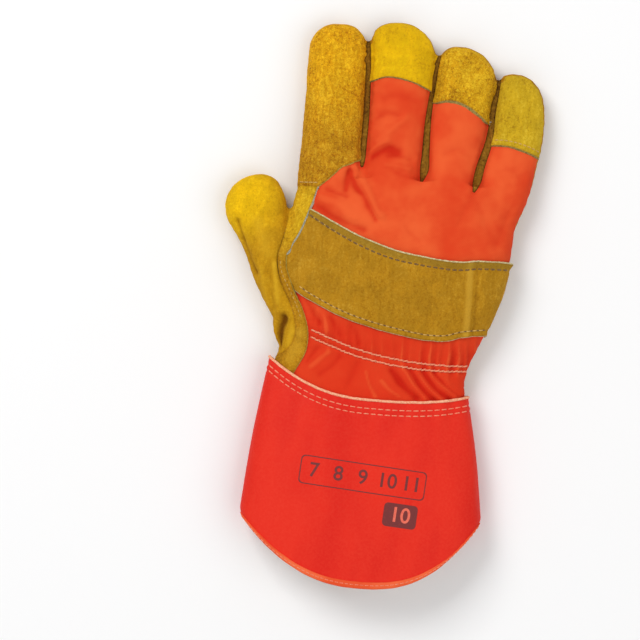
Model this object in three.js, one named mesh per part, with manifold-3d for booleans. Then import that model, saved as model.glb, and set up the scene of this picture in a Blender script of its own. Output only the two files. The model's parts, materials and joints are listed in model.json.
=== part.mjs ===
// A right-hand lined work glove, lying on its palm with the back of the hand up: split-leather palm,
// index finger, thumb, fingertip caps and knuckle strap, a cotton back, and a flared rubberised cuff.
// Millimetres, +Z up, fingers towards +Y, thumb towards -X, origin at the middle of the glove's footprint.
import * as THREE from 'three';
import { mergeVertices } from 'three/addons/utils/BufferGeometryUtils.js';
import Module from 'manifold-3d';

const wasm = await Module();
wasm.setup();

// Driving sizes.
const WALL = 2.2;            // leather or cotton with the fleece bonded to its inside
const CUFF_WALL = 1.4;       // rubberised cotton
const STRAP_WALL = 1.4;
const GAP = 0.3;             // between neighbouring pieces
const CUFF_CLEARANCE = 0.5;  // between the hand and the cuff sewn over it
const BINDING_WIDTH = 3.2;
const BINDING_SWELL = 0.5;   // how far the binding stands proud of the cuff on each face
const SEAM_HEIGHT = 12;      // the side seam between palm and back, above the floor
const STRIP_LOW = 5.5;       // where a side strip meets the finger's front leather
const STRIP_HIGH = 16;       // and the back of the finger on its left
const FLATTENING = 2;        // how far the round underside would reach below the floor it lies on
const WIDEST_AT = 0.45;      // share of the height at which a section is widest
const BOW_LEFT = 2.2;        // power of the bow in each crosswise line, on its two sides
const BOW_RIGHT = 2.7;
const TALL = 60;             // taller than the glove, for the cutters
const OUTSIDE = { hand: 32, finger: 16 };  // sides of each section
const INSIDE = { hand: 24, finger: 12 };

// Crosswise lines of the hand and cuff from the finger roots to the hem, each bowed from left to right.
const LINES = [
  { at: 'roots', left: -50.5, leftY: 66, middleY: 77, right: 86, rightY: 70, height: 26, floor: 0 },
  { at: 'knuckles', left: -53, leftY: 54, middleY: 60, right: 82.5, rightY: 57, height: 29.5, floor: 0 },
  { at: 'upper', left: -55, leftY: 38, middleY: 40, right: 80, rightY: 40, height: 31.5, floor: 0 },
  { at: 'strap', left: -56.5, leftY: 20, middleY: 16, right: 77.5, rightY: 22, height: 32, floor: 0 },
  { at: 'lower', left: -58, leftY: 4, middleY: -3, right: 73, rightY: 3, height: 31, floor: 0 },
  { at: 'gathers', left: -59, leftY: -12, middleY: -20, right: 66.5, rightY: -18, height: 29, floor: 0 },
  { at: 'elastic', left: -58, leftY: -21, middleY: -32, right: 61.5, rightY: -32, height: 26, floor: 0.6 },
  { at: 'wrist', left: -55.5, leftY: -28.5, middleY: -43, right: 58.8, rightY: -41.5, height: 26, floor: 1.3 },
  { at: 'cuff_top', left: -56.3, leftY: -36.5, middleY: -57, right: 60, rightY: -50.5, height: 28, floor: 1.9 },
  { at: 'cuff_mid', left: -62.5, leftY: -84, middleY: -110, right: 68, rightY: -87, height: 33, floor: 1.9 },
  { at: 'hem', left: -66.5, leftY: -133.5, middleY: -168, right: 74.4, rightY: -127, height: 36, floor: 1.9 },
];
const CUFF_TOP = 8;
const HEM = 10;
const HAND_END = 8.22;       // the hand runs this far down the lines, inside the cuff

// Fingers and thumb: rows along each centre line, then a rounded tip that ends at tipX, tipY.
const FINGERS = {
  index: { tipX: -33.5, tipY: 164.5, floor: 0.2, rows: [
    { x: -31,   y: 46,  halfWidth: 16,   height: 24 },
    { x: -31.5, y: 66,  halfWidth: 18.2, height: 25.5 },
    { x: -31.5, y: 81,  halfWidth: 18.6, height: 25.5 },
    { x: -31.8, y: 96,  halfWidth: 17.6, height: 24.5 },
    { x: -31.8, y: 125, halfWidth: 17.5, height: 23.5 },
    { x: -32.6, y: 147, halfWidth: 16.8, height: 22.5 }] },
  middle: { tipX: 4.5, tipY: 168.4, floor: 0.2, rows: [
    { x: 5,   y: 48,  halfWidth: 16,   height: 24 },
    { x: 5.2, y: 66,  halfWidth: 18,   height: 25.5 },
    { x: 5.1, y: 81,  halfWidth: 18.4, height: 25.5 },
    { x: 4.9, y: 100, halfWidth: 17.5, height: 24.5 },
    { x: 6.2, y: 123, halfWidth: 19,   height: 23.5 },
    { x: 6.3, y: 148, halfWidth: 20.1, height: 22.5 }] },
  ring: { tipX: 42.5, tipY: 157.6, floor: 0.2, rows: [
    { x: 37,   y: 46,  halfWidth: 13,   height: 24 },
    { x: 39.2, y: 74,  halfWidth: 15,   height: 25 },
    { x: 41.1, y: 104, halfWidth: 17.3, height: 23.5 },
    { x: 44,   y: 123, halfWidth: 17.1, height: 22.5 },
    { x: 45.3, y: 139, halfWidth: 17.3, height: 21.5 }] },
  little: { tipX: 75.5, tipY: 144, floor: 0.2, rows: [
    { x: 66,   y: 44,  halfWidth: 13,   height: 22 },
    { x: 71.3, y: 72,  halfWidth: 16,   height: 24 },
    { x: 75,   y: 94,  halfWidth: 16.4, height: 22 },
    { x: 76.9, y: 110, halfWidth: 16.1, height: 21 },
    { x: 77.2, y: 127, halfWidth: 14.2, height: 20 }] },
  thumb: { tipX: -79.5, tipY: 69.8, floor: 0.2, rows: [
    { x: -36,   y: -18, halfWidth: 12,   height: 24 },
    { x: -48,   y: -6,  halfWidth: 13,   height: 25 },
    { x: -56,   y: 12,  halfWidth: 15.5, height: 26 },
    { x: -65,   y: 32,  halfWidth: 15.5, height: 25.5 },
    { x: -73.3, y: 50,  halfWidth: 19.2, height: 25 }] },
};
const TIP_STEPS = [0.42, 0.74, 0.93, 0.995];
const TIP_POWER = 2.3;       // roundness of a fingertip seen from above
const HAND_POWER = 2.5;      // squareness of the hand's section
const FINGER_POWER = 2.4;

// Broad gathers that the wrist elastic draws into the cotton, and the dent beside the thumb's root.
const GATHERS = { line: 6, spread: 1.3, depth: 0.7, pitch: 17 };
const DENT = { x: -51, y: -23, radius: 9, depth: 2.6 };

// Value of a table's column at a fractional row, on a smooth curve through the rows.
function along(rows, column, at) {
  const last = rows.length - 1;
  const value = (i) => rows[Math.min(Math.max(i, 0), last)][column];
  const row = Math.min(Math.max(Math.floor(at), 0), last - 1);
  const t = at - row;
  const [before, from, to, after] = [value(row - 1), value(row), value(row + 1), value(row + 2)];
  const slopeFrom = (to - before) / (row === 0 ? 1 : 2);
  const slopeTo = (after - from) / (row === last - 1 ? 1 : 2);
  const [t2, t3] = [t * t, t * t * t];
  return (2 * t3 - 3 * t2 + 1) * from + (t3 - 2 * t2 + t) * slopeFrom
    + (3 * t2 - 2 * t3) * to + (t3 - t2) * slopeTo;
}

// A point of a flattened section: how far across, from -1 to 1, and its height.
function sectionPoint(angle, low, high, power) {
  const [cos, sin] = [Math.cos(angle), Math.sin(angle)];
  const across = Math.sign(cos) * Math.abs(cos) ** (2 / power);
  const widest = low + WIDEST_AT * (high - low);
  const reach = sin > 0 ? high - widest : widest - low + FLATTENING;
  const z = widest + Math.sign(sin) * reach * Math.abs(sin) ** (2 / power);
  return { across, z: Math.max(z, low) };
}

// How far the back's cloth stands off its smooth form at a point of the upper side.
function relief(at, x, y) {
  const near = Math.exp(-(((at - GATHERS.line) / GATHERS.spread) ** 2));
  const pleat = GATHERS.depth * near * Math.cos((2 * Math.PI * x) / GATHERS.pitch);
  const away = ((x - DENT.x) ** 2 + (y - DENT.y) ** 2) / DENT.radius ** 2;
  return pleat - DENT.depth * Math.exp(-away);
}

// One ring of the hand and cuff at a fractional line, grown outwards by offset.
function handRing(at, offset, around = OUTSIDE.hand) {
  const line = (column) => along(LINES, column, at);
  const middle = (line('left') + line('right')) / 2;
  const halfWidth = (line('right') - line('left')) / 2 + offset;
  const low = Math.max(line('floor') - offset, 0);
  const high = line('height') + offset;
  return Array.from({ length: around }, (_, i) => {
    const p = sectionPoint((2 * Math.PI * i) / around, low, high, HAND_POWER);
    const [side, bow] = p.across < 0 ? [line('leftY'), BOW_LEFT] : [line('rightY'), BOW_RIGHT];
    const y = line('middleY') + (side - line('middleY')) * Math.abs(p.across) ** bow;
    const x = middle + halfWidth * p.across;
    const raised = Math.max(0, (p.z - low) / (high - low) - 0.5) * 2;
    return new THREE.Vector3(x, y, p.z + raised * relief(at, x, y));
  });
}

// The rings of one finger, grown outwards by offset, with its closed tip.
function fingerRings({ rows, tipX, tipY, floor }, offset, around) {
  const stations = [...rows, { x: tipX, y: tipY }].map(({ x, y }) => new THREE.Vector3(x, y, 0));
  const centreLine = new THREE.CatmullRomCurve3(stations, false, 'centripetal');
  const end = rows[rows.length - 1];
  const tipLength = Math.hypot(tipX - end.x, tipY - end.y);
  const reach = (tipLength + offset) / tipLength;
  const ring = (at, halfWidth, height, shrink) => {
    const t = at / rows.length;
    const centre = centreLine.getPoint(Math.min(t, 1));
    const ahead = centreLine.getTangent(Math.min(t, 1));
    centre.addScaledVector(ahead, Math.max(0, at - rows.length) * tipLength);
    const [low, high] = [floor - offset, height + offset];
    const level = low + WIDEST_AT * (high - low);
    return Array.from({ length: around }, (_, i) => {
      const p = sectionPoint((2 * Math.PI * i) / around, low, high, FINGER_POWER);
      const across = (halfWidth + offset) * p.across * shrink;
      const z = level + (p.z - level) * shrink;
      return new THREE.Vector3(centre.x + across * ahead.y, centre.y - across * ahead.x, z);
    });
  };
  const shaft = rows.map((r, i) => ring(i, r.halfWidth, r.height, 1));
  const tip = TIP_STEPS.map((s) => {
    const shrink = (1 - s ** TIP_POWER) ** (1 / TIP_POWER);
    return ring(rows.length - 1 + s * reach, end.halfWidth, end.height, shrink);
  });
  return [...shaft, ...tip];
}

// Joins rings of equal length into a closed body, with a fan at each end or back round to the first ring.
function loft(rings, round = false) {
  const around = rings[0].length;
  const points = rings.flat();
  const faces = [];
  const place = (ring, i) => (ring % rings.length) * around + (i % around);
  for (let r = 0; r + (round ? 0 : 1) < rings.length; r += 1) {
    for (let i = 0; i < around; i += 1) {
      const [a, b, c, d] = [place(r, i), place(r, i + 1), place(r + 1, i), place(r + 1, i + 1)];
      faces.push(a, c, b, b, c, d);
    }
  }
  for (const [ring, turned] of round ? [] : [[0, false], [rings.length - 1, true]]) {
    const centre = points.length;
    points.push(rings[ring].reduce((sum, p) => sum.add(p), new THREE.Vector3()).divideScalar(around));
    for (let i = 0; i < around; i += 1) {
      const [a, b] = [place(ring, i), place(ring, i + 1)];
      faces.push(centre, ...(turned ? [b, a] : [a, b]));
    }
  }
  return solidOf(new THREE.BufferGeometry().setFromPoints(points).setIndex(faces));
}

// A geometry as a solid whose faces point out.
function solidOf(geometry) {
  const bare = new THREE.BufferGeometry().setAttribute('position', geometry.getAttribute('position'));
  if (geometry.index) bare.setIndex(geometry.index);
  const merged = mergeVertices(bare, 1e-4);
  const vertProperties = new Float32Array(merged.attributes.position.array);
  const triVerts = new Uint32Array(merged.index.array);
  const solid = new wasm.Manifold(new wasm.Mesh({ numProp: 3, vertProperties, triVerts }));
  if (solid.volume() > 0) return solid;
  triVerts.reverse();
  return new wasm.Manifold(new wasm.Mesh({ numProp: 3, vertProperties, triVerts }));
}

// An upright cutter over an outline seen from above.
function prism(outline, low, high) {
  const shape = new THREE.Shape(outline.map(([x, y]) => new THREE.Vector2(x, y)));
  const geometry = new THREE.ExtrudeGeometry(shape, { depth: high - low, bevelEnabled: false });
  return solidOf(geometry.translate(0, 0, low));
}

// The outline moved outwards by a distance.
function grown(outline, distance) {
  const turn = THREE.ShapeUtils.isClockWise(outline.map(([x, y]) => new THREE.Vector2(x, y))) ? -1 : 1;
  return outline.map(([x, y], i) => {
    const [px, py] = outline[(i + outline.length - 1) % outline.length];
    const [nx, ny] = outline[(i + 1) % outline.length];
    const before = new THREE.Vector2(y - py, px - x).normalize();
    const after = new THREE.Vector2(ny - y, x - nx).normalize();
    const out = before.clone().add(after).normalize();
    const stretch = (turn * distance) / Math.max(out.dot(before), 0.5);
    return [x + out.x * stretch, y + out.y * stretch];
  });
}

// A smooth line through points given by hand, with the number of steps it needs.
function smooth(points, steps) {
  const curve = new THREE.SplineCurve(points.map(([x, y]) => new THREE.Vector2(x, y)));
  return curve.getPoints(steps).map((p) => [p.x, p.y]);
}

// Cuts a piece out of a wall and leaves a narrow gap around it. Each zone is an outline and its heights.
function cutOut(wall, zones) {
  const cutter = (grow) => zones
    .map(({ outline, low, high }) => prism(grown(outline, grow), low - grow, high + grow))
    .reduce((a, b) => a.add(b));
  return [largest(wall.intersect(cutter(0))), wall.subtract(cutter(GAP))];
}

// The main body of a cut, without the slivers that it leaves.
function largest(solid) {
  return solid.decompose().reduce((a, b) => (a.volume() > b.volume() ? a : b));
}

// Evenly spaced values from one to another, both included.
function range(from, to, steps) {
  return Array.from({ length: steps + 1 }, (_, i) => from + ((to - from) * i) / steps);
}

// The hand's wall: hand, fingers and thumb joined, less the same forms shrunk by the wall.
const handLines = [...range(1, 5, 4), ...range(5.5, CUFF_TOP, 5), HAND_END];
const hand = (offset, sides, start = 0, past = []) => [
  loft([start, ...handLines, ...past].map((at) => handRing(at, offset, sides.hand))),
  ...Object.values(FINGERS).map((finger) => loft(fingerRings(finger, offset, sides.finger))),
].reduce((a, b) => a.add(b));
const rootDepth = LINES[0].middleY - LINES[1].middleY;
let wall = hand(0, OUTSIDE).subtract(hand(-WALL, INSIDE, WALL / rootDepth, [HAND_END + 0.1]));

// Seams of the back as seen from above.
const INDEX_EDGE = [[-38.2, 66.6], [-31.5, 73.2], [-26.1, 79], [-20.2, 82.2], [-13.4, 85.6]];
const WRAP_EDGE = smooth([[-38.2, 66.6], [-41.8, 52.4], [-46.5, 37.6], [-54.4, 24.8]], 6);
const WRIST_EDGE = smooth([[-54.4, 24.8], [-53, 15], [-46.2, 3], [-40.7, -7.7], [-37, -19], [-37.2, -31],
  [-42.6, -43.4], [-48, -56]], 12);
const SIDE_STRIPS = {
  index_middle: [
    { x: -13.2, y: 79,  left: 1, right: 1 },
    { x: -13.3, y: 88,  left: 4, right: 3.8 },
    { x: -13.5, y: 126, left: 4, right: 4 },
    { x: -14.6, y: 144, left: 4, right: 4 },
    { x: -15.2, y: 155, left: 1, right: 1 }],
  middle_ring: [
    { x: 23.6, y: 72,  left: 1, right: 1 },
    { x: 22.8, y: 82,  left: 4, right: 3.4 },
    { x: 23.2, y: 102, left: 4, right: 3.6 },
    { x: 26,   y: 123, left: 4, right: 4 },
    { x: 27.2, y: 139, left: 4, right: 4 },
    { x: 27.8, y: 150, left: 1, right: 1 }],
  ring_little: [
    { x: 54.2, y: 69,  left: 1, right: 1 },
    { x: 55,   y: 78,  left: 4, right: 3.6 },
    { x: 59,   y: 103, left: 4, right: 6 },
    { x: 61.2, y: 118, left: 4, right: 5 },
    { x: 62.9, y: 130, left: 4, right: 4.4 },
    { x: 64.2, y: 141, left: 1, right: 1 }],
};
const CAPS = {
  middle: [...smooth([[-18, 130.5], [-11.3, 132], [-3.8, 135], [5.2, 134.8], [14.5, 132.6], [26, 128]], 7),
    [27.2, 144], [28.5, 178], [-14.6, 178], [-14.6, 150]],
  ring: [...smooth([[25.9, 121.4], [33.3, 124], [41.2, 123.5], [50, 119.5], [59.6, 111.8]], 6),
    [61.7, 123], [64.6, 134], [70, 165], [29, 165], [27.3, 144]],
  little: [...smooth([[59.3, 99.5], [66.1, 100.3], [74.5, 99.9], [83.8, 97.7], [98, 92.5]], 5),
    [98, 150], [68, 150], [65.6, 136], [61.9, 123]],
};
const THUMB_BACK = [...smooth([[-53.9, 54.5], [-55, 40], [-58.4, 22], [-55.5, 9], [-49, -3], [-45, -14],
  [-44.5, -24], [-50, -33], [-66, -42]], 12), [-110, -50], [-110, 80], [-54.2, 80], [-54, 62]];
const THUMB_FRONT = [...smooth([[-53.9, 54.5], [-47, 43], [-38, 30], [-33, 12], [-33, -6], [-37, -22],
  [-46, -33], [-66, -42]], 12), [-110, -50], [-110, 80], [-54.2, 80], [-54, 62]];
const INDEX_BACK = [[-60, 66], ...INDEX_EDGE, [-13.4, 125], [-14.8, 147], [-14.8, 180], [-60, 180]];
const INDEX_FRONT = [[-60, 63], [-38, 63.5], [-25, 66], [-13.2, 70], [-13.4, 125], [-14.8, 147],
  [-14.8, 180], [-60, 180]];
const BACK = [...WRAP_EDGE, ...WRIST_EDGE.slice(1), [-50, -80], [100, -80], [100, 150],
  [-12.8, 150], [-12.8, 86], ...INDEX_EDGE.slice(1).reverse()];

// The pieces of the hand, cut one after another out of its wall.
const pieces = {};
for (const [name, rows] of Object.entries(SIDE_STRIPS)) {
  const edge = (column, side) => rows.map((row) => [row.x + side * row[column], row.y]);
  const right = edge('right', 1);
  [pieces[`side_strip_${name}`], wall] = cutOut(wall, [
    { outline: [...right, ...edge('left', -1).reverse()], low: STRIP_LOW, high: STRIP_HIGH },
    { outline: [...right, ...edge('x', 0).reverse()], low: STRIP_LOW, high: TALL }]);
}
for (const [name, outline] of Object.entries(CAPS)) {
  [pieces[`fingertip_cap_${name}`], wall] = cutOut(wall, [{ outline, low: SEAM_HEIGHT, high: TALL }]);
}
[pieces.index_finger, wall] = cutOut(wall, [
  { outline: INDEX_BACK, low: SEAM_HEIGHT, high: TALL },
  { outline: INDEX_FRONT, low: -1, high: SEAM_HEIGHT }]);
[pieces.thumb, wall] = cutOut(wall, [
  { outline: THUMB_BACK, low: SEAM_HEIGHT, high: TALL },
  { outline: THUMB_FRONT, low: -1, high: SEAM_HEIGHT }]);
[pieces.hand_back, wall] = cutOut(wall, [{ outline: BACK, low: SEAM_HEIGHT, high: TALL }]);
pieces.palm = largest(wall);

// The knuckle strap lies on the back and ends at the palm's raw edge and the side seam.
const STRAP_TOP = smooth([[-40.8, 51.9], [-29.2, 46.3], [-13.5, 39.4], [2, 34.4], [16.1, 31],
  [38.6, 28.7], [50.7, 28.6], [62.6, 30.2], [90, 31]], 12);
const STRAP_FOOT = smooth([[90, -10], [70.3, -12.5], [54.5, -15], [45.7, -18], [33.7, -18.7],
  [18.5, -17], [0.2, -13.8], [-18.3, -8.8], [-37.1, -0.8], [-46, 4.2]], 12);
const STRAP_END = [[-50.5, 10.5], [-53.6, 18], [-53.4, 25.2], [-46, 37.8]];
pieces.knuckle_strap = largest(hand(GAP + STRAP_WALL, OUTSIDE).subtract(hand(GAP, OUTSIDE))
  .intersect(prism([...STRAP_TOP, ...STRAP_FOOT, ...STRAP_END], SEAM_HEIGHT, TALL)));

// The cuff is one wrapped wall sewn over the wrist, and a folded binding closes its hem.
const hemDepth = LINES[HEM - 1].middleY - LINES[HEM].middleY;
const bindingTop = HEM - BINDING_WIDTH / hemDepth;
const cuffEnd = bindingTop - GAP / hemDepth;
const sleeve = (lines, inner, outer) => loft([
  ...lines.map((at) => handRing(at, outer)),
  ...[...lines].reverse().map((at) => handRing(at, inner)),
], true);
const cuffFace = CUFF_CLEARANCE + CUFF_WALL;
pieces.cuff = sleeve([CUFF_TOP, HAND_END, ...range(8.6, cuffEnd, 3)], CUFF_CLEARANCE, cuffFace);
pieces.hem_binding = sleeve([bindingTop, HEM], CUFF_CLEARANCE - BINDING_SWELL, cuffFace + BINDING_SWELL);

// Finishes and the group.
const paint = (color, roughness) => new THREE.MeshStandardMaterial({ color, roughness, metalness: 0 });
const FINISHES = {
  yellow_suede: paint(0xd9a414, 0.95),
  tan_suede: paint(0xb98a1e, 0.95),
  orange_cotton: paint(0xe94e25, 0.85),
  red_rubberised_cotton: paint(0xe23427, 0.6),
  orange_binding: paint(0xee5a35, 0.7),
};
const FINISH_OF = {
  hand_back: 'orange_cotton',
  cuff: 'red_rubberised_cotton',
  hem_binding: 'orange_binding',
  knuckle_strap: 'tan_suede',
  side_strip_index_middle: 'tan_suede',
  side_strip_middle_ring: 'tan_suede',
  side_strip_ring_little: 'tan_suede',
};
const glove = new THREE.Group();
for (const [name, solid] of Object.entries(pieces)) {
  const { vertProperties, triVerts, numProp } = solid.getMesh();
  const geometry = new THREE.BufferGeometry();
  geometry.setAttribute('position', new THREE.BufferAttribute(new Float32Array(vertProperties), numProp));
  geometry.setIndex(new THREE.BufferAttribute(new Uint32Array(triVerts), 1));
  geometry.computeVertexNormals();
  const mesh = new THREE.Mesh(geometry, FINISHES[FINISH_OF[name] ?? 'yellow_suede']);
  mesh.name = name;
  glove.add(mesh);
}

export default glove;
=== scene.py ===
import json
import math

import bmesh
import bpy
import numpy as np
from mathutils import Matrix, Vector, noise
from mathutils.bvhtree import BVHTree
from mathutils.kdtree import KDTree

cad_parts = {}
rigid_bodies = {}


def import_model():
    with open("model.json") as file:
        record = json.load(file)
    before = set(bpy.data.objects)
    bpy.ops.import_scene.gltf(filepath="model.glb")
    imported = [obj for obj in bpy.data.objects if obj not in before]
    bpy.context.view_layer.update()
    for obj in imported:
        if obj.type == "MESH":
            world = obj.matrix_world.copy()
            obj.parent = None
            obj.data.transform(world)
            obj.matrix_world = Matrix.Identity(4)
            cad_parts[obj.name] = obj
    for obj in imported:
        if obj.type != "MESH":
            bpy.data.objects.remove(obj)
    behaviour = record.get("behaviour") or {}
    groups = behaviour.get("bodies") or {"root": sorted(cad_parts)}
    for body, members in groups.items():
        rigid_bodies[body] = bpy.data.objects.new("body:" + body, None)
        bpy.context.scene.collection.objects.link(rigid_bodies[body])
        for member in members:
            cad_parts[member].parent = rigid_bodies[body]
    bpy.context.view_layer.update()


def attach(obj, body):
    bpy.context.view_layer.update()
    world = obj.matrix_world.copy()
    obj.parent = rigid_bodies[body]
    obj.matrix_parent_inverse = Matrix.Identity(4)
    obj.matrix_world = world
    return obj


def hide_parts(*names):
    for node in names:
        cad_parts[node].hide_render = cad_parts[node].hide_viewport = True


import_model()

MM = 0.001

# Camera, lights and floor
# The glove lies flat on a pale floor and is seen from straight above, turned a little clockwise.
# Large soft lights from the upper left and all round leave only faint shadows.
def add_object(name, data):
    """Puts an object into the scene."""
    made = bpy.data.objects.new(name, data)
    bpy.context.scene.collection.objects.link(made)
    return made


camera_data = bpy.data.cameras.new("camera")
camera_data.lens = 187.5
camera_data.sensor_width = 36
camera = add_object("camera", camera_data)
camera.location = (-0.0301, -0.0124, 2.0)
camera.rotation_euler = (0, 0, math.radians(5))
bpy.context.scene.camera = camera
bpy.context.scene.view_settings.view_transform = "Standard"

# Where each light is, how wide and how strong.
LIGHTS = {"key_light": ((-1.1, 1.1, 1.8), 1.2, 30), "fill_light": ((1.3, -0.4, 2.0), 2.0, 17),
          "foot_light": ((-0.3, -1.7, 1.5), 1.8, 5)}
for name, (place, width, power) in LIGHTS.items():
    light = bpy.data.lights.new(name, "AREA")
    light.size = width
    light.energy = power
    lamp = add_object(name, light)
    lamp.location = place
    lamp.rotation_euler = (-Vector(place)).to_track_quat("-Z", "Y").to_euler()
world = bpy.data.worlds.new("studio")
world.use_nodes = True
world.node_tree.nodes["Background"].inputs["Color"].default_value = (1, 1, 1, 1)
world.node_tree.nodes["Background"].inputs["Strength"].default_value = 0.45
bpy.context.scene.world = world


def add_node(tree, kind, values=(), links=(), **settings):
    """Adds a shader node with its settings, its sockets' values and what feeds them."""
    made = tree.nodes.new("ShaderNode" + kind)
    for key, value in settings.items():
        setattr(made, key, value)
    for key, value in dict(values).items():
        made.inputs[key].default_value = value
    for key, source in dict(links).items():
        tree.links.new(source, made.inputs[key])
    return made


def start_material(name, roughness, **sockets):
    """A new material, its nodes, its shader and the piece's own coordinates."""
    made = bpy.data.materials.new(name)
    made.use_nodes = True
    tree = made.node_tree
    shader = tree.nodes["Principled BSDF"]
    shader.inputs["Roughness"].default_value = roughness
    for key, value in sockets.items():
        shader.inputs[key.replace("_", " ").title().replace("Ior", "IOR")].default_value = value
    return made, tree, shader, add_node(tree, "TexCoord").outputs["Object"]


def new_piece(name, bm, *materials):
    """Turns a bmesh into an object of its own."""
    mesh = bpy.data.meshes.new(name)
    bm.to_mesh(mesh)
    bm.free()
    for material in materials:
        mesh.materials.append(material)
    return add_object(name, mesh)


floor_bm = bmesh.new()
bmesh.ops.create_grid(floor_bm, x_segments=1, y_segments=1, size=3)
floor_paper = start_material("floor_paper", 0.9, base_color=(0.92, 0.92, 0.92, 1))[0]
new_piece("studio_floor", floor_bm, floor_paper)

# Hand form
# The lined hand, its four fingers and its thumb, as they lie flattened on the palm. Every leather and
# cloth piece of the hand is cut from this one skin, as the real pieces are sewn into one.
# Lines across the glove, from the knuckles to the hem. Columns: left x, left y, middle y, right x, right y,
# height, floor, all in mm.
HAND_LINES = np.array([
    (-50.5, 66, 77, 86, 70, 26, 0), (-53, 54, 60, 82.5, 57, 29.5, 0), (-55, 38, 40, 80, 40, 31.5, 0),
    (-56.5, 20, 16, 77.5, 22, 32, 0), (-58, 4, -3, 73, 3, 31, 0), (-59, -12, -20, 66.5, -18, 29, 0),
    (-58, -21, -32, 61.5, -32, 26, 0.6), (-55.5, -28.5, -43, 58.8, -41.5, 26, 1.3),
    (-56.3, -36.5, -57, 60, -50.5, 28, 1.9), (-62.5, -84, -110, 68, -87, 33, 1.9),
    (-66.5, -133.5, -168, 74.4, -127, 36, 1.9)])
# The lines of the cuff's top and hem, and those where the skin is cut off and the form ends inside it.
CUFF_TOP, HEM, HAND_END, FORM_END = 8, 10, 8.2, 8.8
# How far the hem's corners are drawn in, and over what stretch of lines.
HEM_CORNER, CORNER_STRETCH = 3.4, 0.16
# How square the sections of the hand and fingers are, and how the lines bow towards both sides.
HAND_POWER, FINGER_POWER = 2.5, 2.4
LEFT_BOW, RIGHT_BOW = 2.2, 2.7
# Rows along each finger and each web between two: x, y, half width, height. Then where its tip ends.
FINGERS = {
    "index": ([(-31, 46, 16, 24), (-31.5, 66, 19.2, 25.5), (-31.5, 81, 19.4, 25.5), (-32, 96, 18.6, 24.5),
               (-32.2, 125, 18.6, 23.5), (-33, 147, 17.8, 22.5)], (-34, 164.8)),
    "middle": ([(5, 48, 16, 24), (5.2, 66, 18.4, 25.5), (5.1, 81, 19, 25.5), (5, 100, 18.3, 24.5),
                (6.2, 123, 19.6, 23.5), (6.4, 146, 20.8, 22.5)], (1, 168.6)),
    "ring": ([(37, 46, 13, 24), (39.2, 74, 15.6, 25), (41.3, 104, 17.9, 23.5), (44, 123, 17.8, 22.5),
              (45, 138, 17.9, 21.5)], (40, 158)),
    "little": ([(66, 44, 13, 22), (71.3, 72, 16, 24), (75, 94, 16.6, 22), (76.9, 110, 16.5, 21),
                (77.2, 126, 14.9, 20)], (74, 144.2)),
    "thumb": ([(-36, -18, 12, 24), (-48, -6, 13, 25), (-56, 12, 15.5, 26), (-65, 32, 15.5, 25.5),
               (-73.3, 50, 19.2, 25)], (-79.5, 69.8)),
    "index_middle_web": ([(-13.5, 60, 3, 13), (-13.8, 100, 3, 13), (-14.6, 128, 3, 13)], (-15, 145)),
    "middle_ring_web": ([(22, 60, 3, 13), (24, 100, 3, 13), (25.6, 126, 3, 13)], (27, 143)),
    "ring_little_web": ([(53, 58, 3, 13), (58, 95, 3, 13), (61.5, 120, 3, 13)], (63, 136))}
# How high the fingers' undersides lie in mm, and the share of a tube's height at which it is widest.
FINGER_FLOOR = 0.2
WIDEST = 0.45
# How round the fingers' tips are, and where their rings lie. A tip's rings all face the way that its finger
# goes a little before it, by this share of a row.
TIP_POWER = 2.3
TIP_FACING = 0.3
TIP_STEPS = np.array((0, 0.2, 0.38, 0.54, 0.68, 0.8, 0.89, 0.95, 0.985, 0.999))
VOXEL = 1.2 * MM


def along(rows, at):
    """The columns of a table at a fractional row, on a smooth curve through its rows."""
    last = len(rows) - 1
    row = min(max(math.floor(at), 0), last - 1)
    before, start, end, after = (rows[min(max(row + i, 0), last)] for i in (-1, 0, 1, 2))
    t = at - row
    slope_in = (end - before) / (1 if row == 0 else 2)
    slope_out = (after - start) / (1 if row == last - 1 else 2)
    return ((2 * t**3 - 3 * t**2 + 1) * start + (t**3 - 2 * t**2 + t) * slope_in
            + (3 * t**2 - 2 * t**3) * end + (t**3 - t**2) * slope_out)


def flattened(around, low, high, power):
    """A stuffed tube's section as it lies: how far across, from -1 to 1, and the height."""
    turn = np.arange(around) * 2 * np.pi / around
    across = np.sign(np.cos(turn)) * np.abs(np.cos(turn)) ** (2 / power)
    widest = low + WIDEST * (high - low)
    reach = np.where(np.sin(turn) > 0, high - widest, widest - low + 2)
    z = widest + np.sign(np.sin(turn)) * reach * np.abs(np.sin(turn)) ** (2 / power)
    return across, np.maximum(z, low)


def hand_ring(at, offset=0.0, around=96):
    """A ring of the hand or cuff at a fractional line, grown outwards by an offset."""
    left, left_y, middle_y, right, right_y, high, low = along(HAND_LINES, at)
    pulled_in = HEM_CORNER * (max(at - HEM + CORNER_STRETCH, 0) / CORNER_STRETCH) ** 2
    across, z = flattened(around, max(low - offset, 0), high + offset, HAND_POWER)
    side = np.where(across < 0, left_y, right_y)
    bow = np.where(across < 0, LEFT_BOW, RIGHT_BOW)
    y = middle_y + (side - middle_y) * np.abs(across) ** bow
    x = (left + right) / 2 + ((right - left) / 2 + offset - pulled_in) * across
    return np.column_stack([x, y, z])


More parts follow.
